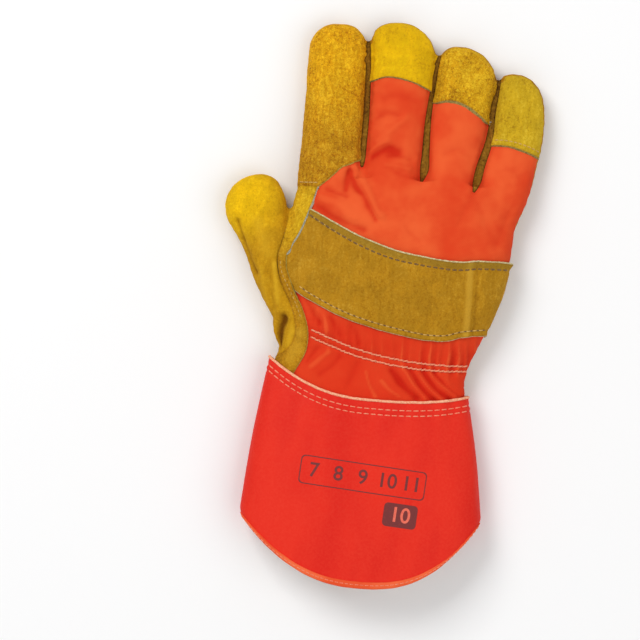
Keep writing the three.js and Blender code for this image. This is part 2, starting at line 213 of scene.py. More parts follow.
def finger_rings(rows, tip):
    """The rings of a finger from its root to its rounded tip."""
    rows = np.array(rows, float)
    centre_line = np.vstack([rows[:, :2], tip])
    last = len(rows) - 1
    for at in (*np.arange(0, last, 0.25), *(last + TIP_STEPS)):
        facing = min(at, last - TIP_FACING)
        ahead = along(centre_line, facing + 0.05) - along(centre_line, max(facing - 0.05, 0))
        ahead /= np.hypot(*ahead)
        half_width, high = along(rows[:, 2:], min(at, last))
        shrink = (1 - max(at - last, 0) ** TIP_POWER) ** (1 / TIP_POWER)
        across, z = flattened(48, FINGER_FLOOR, high, FINGER_POWER)
        level = FINGER_FLOOR + WIDEST * (high - FINGER_FLOOR)
        side = half_width * shrink * across
        x, y = along(centre_line, at)
        yield np.column_stack([x + side * ahead[1], y - side * ahead[0], level + (z - level) * shrink])


def add_tube(bm, rings, capped=True, round_again=False):
    """Adds a tube through rings of points in mm: capped, open, or closed from its last ring to its first."""
    rings = list(rings)
    if round_again:
        rings.append(rings[0])
    made = bmesh.ops.create_grid(bm, x_segments=len(rings[0]), y_segments=len(rings) - 1, size=1)["verts"]
    for vert, point in zip(made, (p for ring in rings for p in (*ring, ring[0]))):
        vert.co = Vector(point) * MM
    bmesh.ops.remove_doubles(bm, verts=made, dist=1e-7)
    if capped:
        bmesh.ops.holes_fill(bm, edges=[e for e in bm.edges if e.is_boundary])


def face_out(bm):
    """Turns all faces outwards."""
    bmesh.ops.recalc_face_normals(bm, faces=bm.faces)
    bm.normal_update()


def relax(bm, verts, rounds, factor=0.5, ways="xyz"):
    """Smooths vertices a few times over, along some of the axes."""
    axes = {"use_axis_" + way: True for way in ways}
    for _ in range(rounds):
        bmesh.ops.smooth_vert(bm, verts=verts, factor=factor, **axes)


form_bm = bmesh.new()
add_tube(form_bm, (hand_ring(at) for at in np.arange(0, FORM_END, 0.25)))
for rows, tip in FINGERS.values():
    add_tube(form_bm, finger_rings(rows, tip))
face_out(form_bm)
form = new_piece("hand_form", form_bm)
remesh = form.modifiers.new("one_skin", "REMESH")
remesh.mode = "VOXEL"
remesh.voxel_size = VOXEL
skin_mesh = bpy.data.meshes.new_from_object(form.evaluated_get(bpy.context.evaluated_depsgraph_get()))
bpy.data.objects.remove(form)
skin = bmesh.new()
skin.from_mesh(skin_mesh)


def islands(bm, joined):
    """Groups of faces that hang together over edges where joined(face, face) holds, the largest last."""
    seen, groups = set(), []
    for start in bm.faces:
        if start not in seen:
            seen.add(start)
            group = [start]
            for face in group:
                for other in (f for e in face.edges for f in e.link_faces):
                    if other not in seen and joined(face, other):
                        seen.add(other)
                        group.append(other)
            groups.append(group)
    return sorted(groups, key=len)


for scrap in islands(skin, lambda a, b: True)[:-1]:
    bmesh.ops.delete(skin, geom=list({v for f in scrap for v in f.verts}), context="VERTS")
skin.faces.layers.int.new("piece")
skin.verts.layers.float.new("line")
relax(skin, skin.verts, 5)
# The fingers' roots run into the back of the hand without a step, between these places in mm.
ROOTS_START, ROOTS_END = 56, 98
skin.normal_update()
roots = [v for v in skin.verts if v.normal.z > 0.8 and ROOTS_START * MM < v.co.y < ROOTS_END * MM]
relax(skin, roots, 40, ways="z")

# Seams
# Where the pieces of the hand are sewn together, as seen from above in mm. Each piece is an outline, or
# two of them, between two heights.
SEAM_HEIGHT = 12
STRIP_FOOT, STRIP_TOP = 5.5, 14
UNDER_ALL, ANY_HEIGHT = -9, 90


def smooth_line(points, steps):
    """A smooth line through given points."""
    points = np.array(points, float)
    return [tuple(along(points, at)) for at in np.linspace(0, len(points) - 1, steps + 1)]


INDEX_EDGE = smooth_line([(-38.2, 66.6), (-31.5, 73.2), (-26.1, 79), (-20.2, 82.2), (-13.4, 85.6)], 16)
WRAP_EDGE = smooth_line([(-38.2, 66.6), (-41.8, 52.4), (-46.5, 37.6), (-54.4, 24.8)], 18)
WRIST_EDGE = smooth_line([(-54.4, 24.8), (-53, 15), (-46.2, 3), (-40.7, -7.7), (-37, -19), (-37.2, -31),
                          (-42.6, -43.4), (-48, -56)], 36)
# Rows of each strip: x, y, reach to the left, reach to the right.
STRIP_ROWS = {
    "index_middle": [(-13.7, 80, 1, 1.2), (-14.2, 85, 2.3, 2.6), (-14.4, 95, 2.3, 3), (-14.4, 112, 2.2, 3),
                     (-15, 131, 2, 2.8), (-15.6, 146, 2, 2.2), (-15.6, 156, 1, 1)],
    "middle_ring": [(22.4, 74, 1, 1), (22, 82, 2.4, 4.6), (22.2, 91, 2.2, 4), (22.4, 113, 1.8, 3.1),
                    (24.4, 135, 1.5, 2.3), (25.6, 144, 1.4, 1.8), (27.4, 151, 1, 1)],
    "ring_little": [(53.6, 70.5, 1, 1), (53.9, 77, 2.3, 4.2), (55.2, 87, 2, 4.6), (59.2, 102, 1.8, 3.8),
                    (61, 118, 1.5, 2.4), (62.6, 130, 1.3, 1.8), (64.2, 141, 1, 1)]}
CAP_EDGES = {
    "middle": smooth_line([(-18, 130.5), (-11.3, 132), (-3.8, 135), (5.2, 134.8), (14.5, 132.6),
                           (26, 128)], 20),
    "ring": smooth_line([(25.9, 121.4), (33.3, 124), (41.2, 123.5), (50, 119.5), (59.6, 111.8)], 20),
    "little": smooth_line([(58.6, 99.4), (66.1, 100.3), (74.5, 99.9), (83.8, 97.7), (98, 92.5)], 20)}
CAP_SIDES = {
    "middle": [(26.6, 144), (28.2, 178), (-15.2, 178), (-15.2, 150)],
    "ring": [(61.2, 123), (63.4, 134), (68, 165), (28.6, 165), (26.8, 144)],
    "little": [(98, 150), (66.6, 150), (63.6, 136), (61.4, 123)]}
THUMB_BACK = smooth_line([(-53.9, 54.5), (-55, 40), (-58.4, 22), (-55.5, 9), (-49, -3), (-45, -14),
                          (-44.5, -24), (-50, -33), (-66, -42)], 48)
THUMB_FRONT = smooth_line([(-53.9, 54.5), (-47, 43), (-38, 30), (-33, 12), (-33, -6), (-37, -22),
                           (-46, -33), (-66, -42)], 48)
THUMB_OUTSIDE = [(-110, -50), (-110, 80), (-54.2, 80), (-54, 62)]
INDEX_OUTSIDE = [(-13.4, 125), (-14.8, 147), (-14.8, 180), (-60, 180)]
BACK_OUTSIDE = [(-50, -80), (100, -80), (100, 150), (-12.8, 150), (-12.8, 86)]
STRAP_TOP = smooth_line([(-40.8, 51.9), (-29.2, 46.3), (-13.5, 39.4), (2, 34.4), (16.1, 31), (38.6, 28.7),
                         (50.7, 28.6), (62.6, 30.2), (90, 31)], 48)
STRAP_FOOT = smooth_line([(90, -10), (70.3, -12.5), (54.5, -15), (45.7, -18), (33.7, -18.7), (18.5, -17),
                          (0.2, -13.8), (-18.3, -8.8), (-37.1, -0.8), (-46, 4.2)], 48)
STRAP_END = smooth_line([(-46, 4.2), (-50.5, 10.5), (-53.6, 18), (-53.4, 25.2), (-46, 37.8),
                         (-40.8, 51.9)], 24)[1:-1]


def strip_outline(name, share):
    """Outline of a side strip, from its right edge over its middle to a share of its left half."""
    rows = STRIP_ROWS[name]
    left = smooth_line([(x - share * reach, y) for x, y, reach, _ in rows], 32)
    return smooth_line([(x + reach, y) for x, y, _, reach in rows], 32) + left[::-1]


ZONES = {}
for name in STRIP_ROWS:
    ZONES["side_strip_" + name] = [(strip_outline(name, 1), STRIP_FOOT, STRIP_TOP),
                                   (strip_outline(name, 0.3), STRIP_FOOT, ANY_HEIGHT)]
for name in CAP_EDGES:
    ZONES["fingertip_cap_" + name] = [(CAP_EDGES[name] + CAP_SIDES[name], SEAM_HEIGHT, ANY_HEIGHT)]
ZONES["index_finger"] = [
    ([(-60, 66), *INDEX_EDGE, *INDEX_OUTSIDE], SEAM_HEIGHT, ANY_HEIGHT),
    ([(-60, 63), (-38, 63.5), (-25, 66), (-13.2, 70), *INDEX_OUTSIDE], UNDER_ALL, SEAM_HEIGHT)]
ZONES["thumb"] = [(THUMB_BACK + THUMB_OUTSIDE, SEAM_HEIGHT, ANY_HEIGHT),
                  (THUMB_FRONT + THUMB_OUTSIDE, UNDER_ALL, SEAM_HEIGHT)]
ZONES["hand_back"] = [(WRAP_EDGE + WRIST_EDGE[1:] + BACK_OUTSIDE + INDEX_EDGE[:0:-1],
                       SEAM_HEIGHT, ANY_HEIGHT)]
STRAP_ZONE = [(STRAP_TOP + STRAP_FOOT + STRAP_END, SEAM_HEIGHT, ANY_HEIGHT)]


def line_distance(points, line, closed=False):
    """Distance in plan from points to a line, and whether each point is inside it if it is closed."""
    points = points[:, :2]
    nearest = np.full(len(points), 1e9)
    inside = np.zeros(len(points), bool)
    ends = line[1:] + (line[:1] if closed else [])
    for (px, py), (qx, qy) in zip(line, ends):
        ex, ey = qx - px, qy - py
        wx, wy = points[:, 0] - px, points[:, 1] - py
        t = np.clip((wx * ex + wy * ey) / max(ex * ex + ey * ey, 1e-12), 0, 1)
        nearest = np.minimum(nearest, np.hypot(wx - t * ex, wy - t * ey))
        if closed and ey:
            inside ^= ((py > points[:, 1]) != (qy > points[:, 1])) & (points[:, 0] < px + wy * ex / ey)
    return (nearest, inside) if closed else nearest


def zone_distance(points, zones):
    """Distance in mm from points to the edge of a piece's zones, negative inside them."""
    best = np.full(len(points), 1e9)
    for outline, low, high in zones:
        nearest, inside = line_distance(points, outline, closed=True)
        plan = np.where(inside, -nearest, nearest)
        best = np.minimum(best, np.maximum(plan, np.maximum(low - points[:, 2], points[:, 2] - high)))
    return best


def places_of(bm):
    """The places of a bmesh's vertices in mm."""
    return np.array([v.co for v in bm.verts]) / MM


# An edge that a line crosses nearer than this share of its length to one end has that end moved instead.
SNAP = 0.2


def cut(bm, zones, number):
    """Splits a skin along the edge of some zones and gives the faces inside them a piece's number."""
    piece, line = bm.faces.layers.int["piece"], bm.verts.layers.float["line"]
    verts = list(bm.verts)
    bm.verts.index_update()
    away = zone_distance(places_of(bm), zones)
    edges = [e for e in bm.edges if any(f[piece] == 0 for f in e.link_faces)]
    ends = np.array([(e.verts[0].index, e.verts[1].index) for e in edges])
    first, second = away[ends[:, 0]], away[ends[:, 1]]
    share = first / np.where(first == second, 1, first - second)
    snapped = set()
    for i in np.flatnonzero((first * second < 0) & (abs(share - 0.5) > 0.5 - SNAP)):
        near, far, t = (*ends[i], share[i]) if share[i] < 0.5 else (*ends[i][::-1], 1 - share[i])
        if near not in snapped:
            snapped.add(near)
            verts[near].co = verts[near].co.lerp(verts[far].co, t)
    away[list(snapped)] = 0
    for vert, value in zip(verts, away):
        vert[line] = value
    crossing = np.flatnonzero(away[ends[:, 0]] * away[ends[:, 1]] < 0)
    split = bmesh.ops.bisect_edges(bm, edges=[edges[i] for i in crossing], cuts=1)["geom_split"]
    fresh = [v for v in split if isinstance(v, bmesh.types.BMVert)]
    for vert in fresh:
        a, b = (e.other_vert(vert) for e in vert.link_edges)
        vert.co = a.co.lerp(b.co, a[line] / (a[line] - b[line]))
    for vert in fresh:
        vert[line] = 0
    bmesh.ops.connect_verts(bm, verts=[v for v in bm.verts if v[line] == 0])
    for face in bm.faces:
        if face[piece] == 0 and sum(v[line] for v in face.verts) < -1e-6:
            face[piece] = number


# Relief
# What sewing, elastic and use have pressed into the skin before it is cut: sunk seams, puckers, the
# wrist's gathers and folds, and soft creases in the cloth and leather.
def ease(low, high, value):
    """Rises smoothly from 0 to 1 as a value goes from low to high."""
    t = np.clip((value - low) / (high - low), 0, 1)
    return t * t * (3 - 2 * t)


def furrow(away, width):
    """A rounded groove's depth, from 0 to 1, at a distance from its middle."""
    return np.exp(-(away / width) ** 2)


def waves(along_it, pitch, late=0.0):
    """Even waves between -1 and 1."""
    return np.cos(along_it * 2 * np.pi / pitch + late)


def cloudy(points, size, seed):
    """Soft noise between about -1 and 1, with features of a size in mm."""
    shift = Vector((seed * 17.3, seed * 9.1, seed * 5.7))
    return np.array([noise.noise(Vector(p) / size + shift) for p in points]) * 1.6


def below_line(points, line):
    """How far points lie below a line that runs across the glove, in mm."""
    line = np.array(line)
    order = np.argsort(line[:, 0])
    return np.interp(points[:, 0], line[order, 0], line[order, 1]) - points[:, 1]


# The upper row of elastic at the wrist, and how far below it the lower row lies at its two ends, in mm.
ELASTIC_ROW = smooth_line([(-37, -17.6), (-23.2, -22.6), (-4.6, -28.2), (19.8, -32.1), (44, -33),
                           (62, -32.1)], 40)
ELASTIC_GAPS = (-37, 62), (4.3, 3.1)
# The elastic's depth, and the pitches of its gathers and how far they run above and below it, in mm.
ELASTIC_DEPTH = 0.9
GATHER_PITCHES = 5.6, 8.9
GATHERS_ABOVE, GATHERS_BELOW = 13, 6
# How far the cuff's seam draws the skin in, and the notch below the thumb: place, depth and width in mm.
CUFF_SEAM_DEPTH = 1.7
NOTCH, NOTCH_DEPTH, NOTCH_WIDTH = np.array((-57, -32)), 3.6, 4.6
# How deep and wide seams are sunk, by the names of their pieces, and the width and pitch of their puckers.
SEAM_DEPTHS, SEAM_DEPTH = {"side_strip": 0.7, "thumb": 0.6, "fingertip": 0.4}, 0.5
SEAM_WIDTH, PUCKER_WIDTH, PUCKER_PITCH = 1.4, 3.5, 5.3
# Creases: points of the line, depth (below 0 is a ridge) and width in mm.
CREASES = [
    # the cloth round the root of the index finger
    ([(-12.6, 85.1), (-7.1, 91.7), (0.4, 96.7)], -1.1, 1.7), ([(-8.4, 87.2), (0.8, 92), (7, 90.5)], 1.8, 2.6),
    ([(-5, 96.5), (0.1, 101), (9.6, 111.6)], -0.8, 2.6), ([(-7.7, 109.2), (-1, 113.7), (6.2, 112)], 0.9, 2.5),
    ([(-16.9, 79), (-11.4, 71.1), (-4, 56.9), (0.4, 52)], -1.5, 2.0),
    ([(-18.5, 76.5), (-16.4, 69), (-10.7, 63.3), (-6.6, 56.7), (-2.5, 49.5)], 1.7, 1.9),
    ([(-19.6, 78.5), (-21.2, 73), (-21.8, 66)], 1.5, 1.7), ([(-33, 65), (-27, 63.5), (-21, 62)], 1.2, 2.0),
    ([(-36, 60), (-26, 57.6), (-15.5, 49.5)], -0.9, 3.2),
    ([(-38, 55), (-30, 50.5), (-24, 48), (-9, 42.8)], 1.2, 2.4),
    ([(2, 88), (8.2, 88.5), (15.3, 86.6)], 0.8, 1.8), ([(5, 80), (11, 77.5), (18, 76.4)], 0.7, 2.0),
    ([(1, 82.5), (8, 82), (15, 81.5)], -0.6, 1.8),
    # the rest of the cloth
    ([(15.3, 47), (19, 43), (24.4, 39.4)], 0.6, 2.4), ([(53, 68), (50, 60), (46, 50)], 0.5, 2.6),
    ([(56, 66), (62, 56), (66, 46)], 0.5, 3.0), ([(70, 40), (74, 52), (77, 64)], 0.6, 3.0),
    ([(35, 92), (42, 95), (50, 92)], 0.6, 2.6), ([(66, 84), (73, 86), (80, 83)], 0.5, 2.8),
    ([(-4, 121), (6, 124), (16, 121)], 0.6, 3.4),
    # thumb and palm
    ([(-70.5, 12), (-75.3, 20.2), (-79, 28.5), (-82.5, 37), (-84.5, 42)], 2.2, 1.5),
    ([(-63, 22), (-67, 32), (-72, 42)], -0.7, 4.5),
    ([(-63.5, 20), (-62.5, 14.8), (-60.5, 2.4), (-58.5, -8)], 1.1, 1.6),
    ([(-60, 18), (-58.5, 8), (-56, -4)], -1.1, 2.2), ([(-67.5, 16), (-64.5, 4), (-61.5, -6)], -0.7, 2.0),
    ([(-52, 12), (-49, 2), (-45, -9), (-43, -16)], 0.9, 1.6),
    ([(-51.5, -14), (-53.5, -19), (-54, -24), (-54.4, -29)], 3.4, 3.0),
    ([(-47, -10), (-47.6, -18.7), (-49, -28)], -1.0, 3.0), ([(-41, -20), (-43, -32), (-49, -41)], -0.8, 4.0),
    ([(-52, -36), (-49, -42), (-45, -45)], 1.0, 2.6),
    ([(-48, 100), (-38, 103), (-20, 101)], 0.4, 3.4), ([(-47, 121), (-36, 119), (-20, 122)], 0.35, 4.0),
    # below the strap
    ([(-39.4, -1.8), (-35, -8), (-30.6, -13.7)], 1.1, 2.0),
    ([(-24.4, -10.5), (-21, -15), (-18.3, -20.4)], 1.0, 2.0),
    ([(-10.8, -14.6), (-8.6, -19), (-6.5, -24.8)], 1.0, 1.8),
    ([(-32, -7), (-27, -13), (-24, -18)], -0.8, 2.0),
    # below the elastic
    ([(-30.2, -28.9), (-35.9, -37.2)], 1.0, 1.8), ([(-23.5, -30.9), (-33.1, -39.6)], -0.8, 2.2),
    ([(-16.7, -32.9), (-21, -39), (-27.5, -44.3)], 0.9, 2.4), ([(-5.9, -35.9), (-10.1, -48)], 0.7, 2.8),
    ([(-0.3, -40.6), (2.3, -48.3), (6.1, -54.5)], -0.8, 1.5),
    ([(9.2, -45.1), (14.5, -50), (20.4, -53.3)], -0.8, 1.5),
    ([(14.6, -38.6), (22, -46.5), (30.7, -53.5)], 2.0, 2.2),
    ([(22.1, -36.1), (27.4, -44.7), (36, -53.2)], -1.1, 1.4),
    ([(25.5, -36.5), (33, -46.5), (41.5, -54)], 2.2, 1.6),
    ([(29.5, -38), (38.2, -47.8), (46.5, -53.6)], -1.1, 1.3),
    ([(33, -37), (41.5, -46.5), (51, -52.8)], 2.0, 1.5),
    ([(36, -37.4), (44.5, -44.6), (55.5, -51.5)], -1.1, 1.3),
    ([(39.5, -37), (47, -44), (56.5, -50.5)], 1.8, 1.4),
    ([(42.5, -36.8), (49.1, -44.2), (57.3, -50)], -0.9, 1.3)]

skin.normal_update()
points = places_of(skin)
normals = np.array([v.normal for v in skin.verts])
upper = ease(0.1, 0.6, normals[:, 2])
wander = cloudy(points, 8, 7)
lift = 0.7 * cloudy(points, 34, 1) + 0.3 * cloudy(points, 12, 2) + 0.12 * cloudy(points, 4.5, 3)
for name, zones in ZONES.items():
    edge = np.abs(zone_distance(points, zones))
    pucker = 0.5 + 0.5 * np.sin(points[:, 1] * 2 * np.pi / PUCKER_PITCH + 2 * wander)
    deep = next((d for start, d in SEAM_DEPTHS.items() if name.startswith(start)), SEAM_DEPTH)
    lift -= deep * furrow(edge, SEAM_WIDTH) + 0.25 * pucker * furrow(edge, PUCKER_WIDTH)
lift -= CUFF_SEAM_DEPTH * ease(-0.5, 2.5, below_line(points, hand_ring(CUFF_TOP)))
lift -= NOTCH_DEPTH * furrow(np.hypot(*(points[:, :2] - NOTCH).T), NOTCH_WIDTH)
fold = np.zeros(len(points))
for line, deep, wide in CREASES:
    bent = np.maximum(line_distance(points, smooth_line(line, 12)) + 0.35 * wide * wander, 0)
    fold -= upper * deep * np.exp(-(bent / wide) ** (1.4 if deep > 0 else 2))
# The elastic gathers the cloth, more so towards the little finger's side, and both its rows are sunk.
below = below_line(points, ELASTIC_ROW)
gap = np.interp(points[:, 0], *ELASTIC_GAPS)
cloth = ease(-39, -33, points[:, 0]) * upper
crowd = 0.5 + 0.5 * ease(10, 40, points[:, 0])
phase = points[:, 0] + 0.12 * points[:, 1] + 1.5 * cloudy(points, 16, 5)
fine, broad = GATHER_PITCHES
pleats = 1.9 * (0.5 + 0.5 * waves(phase, fine)) ** 3 - 0.8 + 0.5 * waves(phase, broad, 1)
reach = np.where(below < 0, furrow(below, GATHERS_ABOVE), furrow(below, GATHERS_BELOW))
fold += cloth * crowd * 0.95 * pleats * reach
lift -= cloth * ELASTIC_DEPTH * (furrow(below, 1.1) + furrow(below - gap, 1.1))
lift += cloth * 0.6 * furrow(below - gap / 2, 0.9) + fold
# What lies on the floor stays flat.
lift *= ease(-0.5, 1.5, points[:, 2]) * np.where(normals[:, 2] < -0.6, 0.25, 1)
# Each vertex keeps the depth of its creases and pleats as fold; from it the finishes paint shade in the
# hollows and highlights on the ridges.
fold_layer = skin.verts.layers.float.new("fold")
for vert, normal, rise, depth in zip(skin.verts, normals, lift, fold):
    vert.co += Vector(normal) * (rise * MM)
    vert.co.z = max(vert.co.z, 0.0)
    vert[fold_layer] = depth

# Spots bent more sharply than this, in radians, are eased out, or the wall would turn over there.
PINCHED = 0.8
for _ in range(8):
    skin.normal_update()
    pinched = {v for e in skin.edges if e.calc_face_angle(0) > PINCHED for f in e.link_faces for v in f.verts}
    relax(skin, list(pinched), 1, 0.6)

strap_skin = skin.copy()
NUMBERS = {name: number for number, name in enumerate(ZONES, 1)}
NUMBERS["palm"] = 0
# The skin is cut off under the cuff, below the hand's end and well past the glove on its other sides.
CUT_AWAY = 99
SIDE, FOOT = 120, -200
end = hand_ring(HAND_END)
end = [tuple(p) for p in end[:len(end) // 2 + 1, :2]]
end = [(SIDE, end[0][1]), *end, (-SIDE, end[-1][1]), (-SIDE, FOOT), (SIDE, FOOT)]
cut(skin, [(end, UNDER_ALL, ANY_HEIGHT)], CUT_AWAY)
for name, zones in ZONES.items():
    cut(skin, zones, NUMBERS[name])
# Scraps of fewer faces than this, that the cuts leave along a seam, go to the piece beside them.
SCRAP = 150
layer = skin.faces.layers.int["piece"]
for scrap in islands(skin, lambda a, b: a[layer] == b[layer]):
    beside = [o[layer] for f in scrap for e in f.edges for o in e.link_faces if o[layer] != scrap[0][layer]]
    if len(scrap) < SCRAP and beside:
        number = max(sorted(set(beside)), key=beside.count)
        for face in scrap:
            face[layer] = number


def mark_edges(bm):
    """Keeps each vertex's distance in mm from the piece's own edge, for the painted shade along its edges."""
    edge = bm.verts.layers.float.new("edge")
    rim = [v for v in bm.verts if v.is_boundary]
    tree = KDTree(len(rim))
    for i, vert in enumerate(rim):
        tree.insert(vert.co, i)
    tree.balance()
    for vert in bm.verts:
        vert[edge] = tree.find(vert.co)[2] / MM


# Points of an edge that lie nearer than this in mm are joined, and a cut edge is this near its line.
JOIN, NEAR_LINE = 0.4, 1.6


def take_piece(name):
    """The faces of one piece of the skin, with the distance from their edge kept for the finish."""
    bm = skin.copy()
    layer = bm.faces.layers.int["piece"]
    bmesh.ops.delete(bm, geom=[f for f in bm.faces if f[layer] != NUMBERS[name]], context="FACES")
    bmesh.ops.remove_doubles(bm, verts=[v for v in bm.verts if v.is_boundary], dist=JOIN * MM)
    bm.normal_update()
    mark_edges(bm)
    return bm


def push(bm, distances):
    """Moves each vertex by its distance in mm, along the mean normal of the vertices around it."""
    bm.verts.index_update()
    ends = np.array([[v.index for v in e.verts] for e in bm.edges])
    ways = np.array([v.normal for v in bm.verts])
    for _ in range(5):
        total = ways.copy()
        np.add.at(total, ends[:, 0], ways[ends[:, 1]])
        np.add.at(total, ends[:, 1], ways[ends[:, 0]])
        ways = total / np.linalg.norm(total, axis=1)[:, None]
    for vert, way, distance in zip(bm.verts, ways, distances):
        vert.co += Vector(way) * (float(distance) * MM)
        vert.co.z = max(vert.co.z, 0.0)


def raise_edge(bm, line, height, reach, over=0.0):
    """Lifts a piece's leather over its neighbour by a height within a reach of a line, and over the strap
    by more, all in mm."""
    places = places_of(bm)
    height = height + over * ease(60, 50, places[:, 1]) * ease(-8, 4, places[:, 1])
    near = 1 - ease(0, reach, line_distance(places, line))
    push(bm, height * near * ease(SEAM_HEIGHT - 2, SEAM_HEIGHT + 3, places[:, 2]))
    bm.normal_update()


def cut_lip(bm, line, zones, side, out=0.7, down=0.9, slot=1, thin=0.0):
    """Adds the sloping cut face of the leather along a line. It goes out of its zones for a side of 1 and
    into them for -1, out and down by distances in mm, and is thinner within one of the line's ends."""
    near = line_distance(places_of(bm), line) < NEAR_LINE
    for vert, close in zip(bm.verts, near):
        vert.tag = bool(close) and vert.is_boundary and vert.co.z > SEAM_HEIGHT * MM
    rim = [e for e in bm.edges if e.is_boundary and e.verts[0].tag and e.verts[1].tag]
    for edge in rim:
        edge.smooth = False
    made = bmesh.ops.extrude_edge_only(bm, edges=rim)["geom"]
    verts = [g for g in made if isinstance(g, bmesh.types.BMVert)]
    places = np.array([v.co for v in verts]) / MM
    slope = np.column_stack([
        zone_distance(places + step, zones) - zone_distance(places - step, zones)
        for step in np.array(((0.6, 0, 0), (0, 0.6, 0)))])
    slope *= side / np.maximum(np.hypot(slope[:, 0], slope[:, 1]), 1e-6)[:, None]
    to_end = np.min([np.hypot(*(places[:, :2] - end).T) for end in (line[0], line[-1])], axis=0)
    for vert, (x, y), wide in zip(verts, slope, out * ease(-1, thin, to_end)):
        ragged = wide * (1 + 0.35 * noise.noise(vert.co * 600))
        vert.co += Vector((x * ragged, y * ragged, -down)) * MM
    for face in (g for g in made if isinstance(g, bmesh.types.BMFace)):
        face.material_index = slot


def dress(name, bm, materials, node="", thickness=0.0):
    """Makes a smooth piece of the glove. An open skin gets a wall: outside, cut edge and lining."""
    for edge in bm.edges:
        if edge.is_boundary:
            edge.smooth = False
    for face in bm.faces:
        face.smooth = True
    piece = new_piece(name, bm, *materials)
    if thickness:
        wall = piece.modifiers.new("wall", "SOLIDIFY")
        wall.thickness = thickness * MM
        wall.offset = -1
        wall.material_offset = 2
        wall.material_offset_rim = 1
    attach(piece, "root")
    if node:
        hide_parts(node)


# Split leather
# Cowhide split with a short brushed nap: yellow dye that lies unevenly and fine curls of fibre, with
# painted highlights as brighter spots and on its ridges, and painted shade in its creases and along its
# edges. Its cut edges are grey and fibrous, and a white fleece lines its inside.
def start_group(name, inputs, outputs):
    """An empty shader node group with its sockets, named in words."""
    group = bpy.data.node_groups.new(name, "ShaderNodeTree")
    for way, sockets in (("INPUT", inputs), ("OUTPUT", outputs)):
        for socket, kind in sockets.items():
            group.interface.new_socket(socket, in_out=way, socket_type="NodeSocket" + kind)
    return group, group.nodes.new("NodeGroupInput").outputs, group.nodes.new("NodeGroupOutput").inputs


def colour(text):
    """Linear colour of a six-digit hex value."""
    parts = [int(text[i:i + 2], 16) / 255 for i in (0, 2, 4)]
    return (*(p / 12.92 if p <= 0.04045 else ((p + 0.055) / 1.055) ** 2.4 for p in parts), 1)


def put(tree, source, socket):
    """Gives a socket a link, a value or the colour of a hex value."""
    if isinstance(source, bpy.types.NodeSocket):
        tree.links.new(source, socket)
    else:
        socket.default_value = colour(source) if isinstance(source, str) else source


def blend_colour(tree, factor, first, second, kind="MIX"):
    """Mixes two colours."""
    made = add_node(tree, "Mix", data_type="RGBA", blend_type=kind)
    for source, place in ((factor, 0), (first, 6), (second, 7)):
        put(tree, source, made.inputs[place])
    return made.outputs[2]


def maths(tree, kind, *values):
    """One sum on two or three values."""
    made = add_node(tree, "Math", operation=kind)
    for i, value in enumerate(values):
        put(tree, value, made.inputs[i])
    return made.outputs[0]


def weighed(tree, *parts):
    """The sum of some values, each times its share."""
    total = 0.0
    for value, share in parts:
        total = maths(tree, "MULTIPLY_ADD", value, share, total)
    return total


def spread(tree, value, low, high, to_low=0.0, to_high=1.0):
    """Stretches a value's range smoothly."""
    made = add_node(tree, "MapRange", interpolation_type="SMOOTHSTEP")
    for i, source in enumerate((value, low, high, to_low, to_high)):
        put(tree, source, made.inputs[i])
    return made.outputs[0]


def tint(tree, paint, value, span, second, kind="MIX"):
    """Turns a paint towards a second one as a value crosses a span: its ends, and the strength at each."""
    return blend_colour(tree, spread(tree, value, *span), paint, second, kind)


def kept(tree, name):
    """A value that the piece's vertices keep."""
    return add_node(tree, "Attribute", attribute_name=name).outputs["Fac"]


def grain(tree, vector, size, detail=4.0, rough=0.6, warp=0.0, kind="FBM"):
    """Noise whose features have a size in mm."""
    values = {"Scale": 1000.0 / size, "Detail": detail, "Roughness": rough, "Distortion": warp}
    return add_node(tree, "TexNoise", values, {"Vector": vector}, noise_type=kind).outputs[0]


def stretched(tree, vector, turn, scale):
    """Coordinates turned and stretched, for a pattern with a lie."""
    lie = {"Rotation": (0, 0, turn), "Scale": scale}
    return add_node(tree, "Mapping", lie, {"Vector": vector}).outputs[0]


def coat(tree, shader, paint, height=None, strength=0.0, depth=0.0):
    """Gives a shader its paint, and its bump from a height."""
    tree.links.new(paint, shader.inputs["Base Color"])
    if height:
        bump = add_node(tree, "Bump", {"Strength": strength, "Distance": depth}, {"Height": height})
        tree.links.new(bump.outputs[0], shader.inputs["Normal"])


nap_group, entry, result = start_group(
    "brushed_nap", {"Vector": "Vector", "Dark": "Color", "Middle": "Color", "Light": "Color",
                    "Curl": "Float", "Contrast": "Float"}, {"Color": "Color", "Height": "Float"})
tree, at = nap_group, entry["Vector"]
cloud = grain(tree, at, 22, 3, 0.5)
tuft = grain(tree, at, 1.5, 3, 0.7, 0.7)
hair = grain(tree, at, 0.8, 2, 0.6)
brushed = grain(tree, stretched(tree, at, 0.5, (1, 0.25, 1)), 1.5, 3, 0.6, 0.3)
drift = grain(tree, stretched(tree, at, -0.25, (1, 0.6, 1)), 7, 3, 0.55, 0.8)
curls = maths(tree, "ABSOLUTE", maths(tree, "SUBTRACT", grain(tree, at, 2.1, 1.5, 0.5, 1.3), 0.5))
curls = maths(tree, "MULTIPLY", spread(tree, curls, 0.04, 0.004), spread(tree, hair, 0.4, 0.56))
curls = maths(tree, "MULTIPLY", curls, entry["Curl"])
tone = weighed(tree, (cloud, 0.22), (tuft, 0.42), (hair, 0.10), (brushed, 0.26))
half = maths(tree, "DIVIDE", 0.1, entry["Contrast"])
body = tint(tree, entry["Dark"], tone, (maths(tree, "SUBTRACT", 0.49, half), 0.5), entry["Middle"])
gleam = spread(tree, tone, 0.5, maths(tree, "ADD", 0.52, half))
gleam = maths(tree, "MAXIMUM", maths(tree, "MULTIPLY", gleam, 0.75), curls)
body = blend_colour(tree, gleam, body, entry["Light"])
body = blend_colour(tree, 1.0, body, spread(tree, drift, 0.3, 0.7, 0.9, 1.08), "MULTIPLY")
tree.links.new(body, result["Color"])
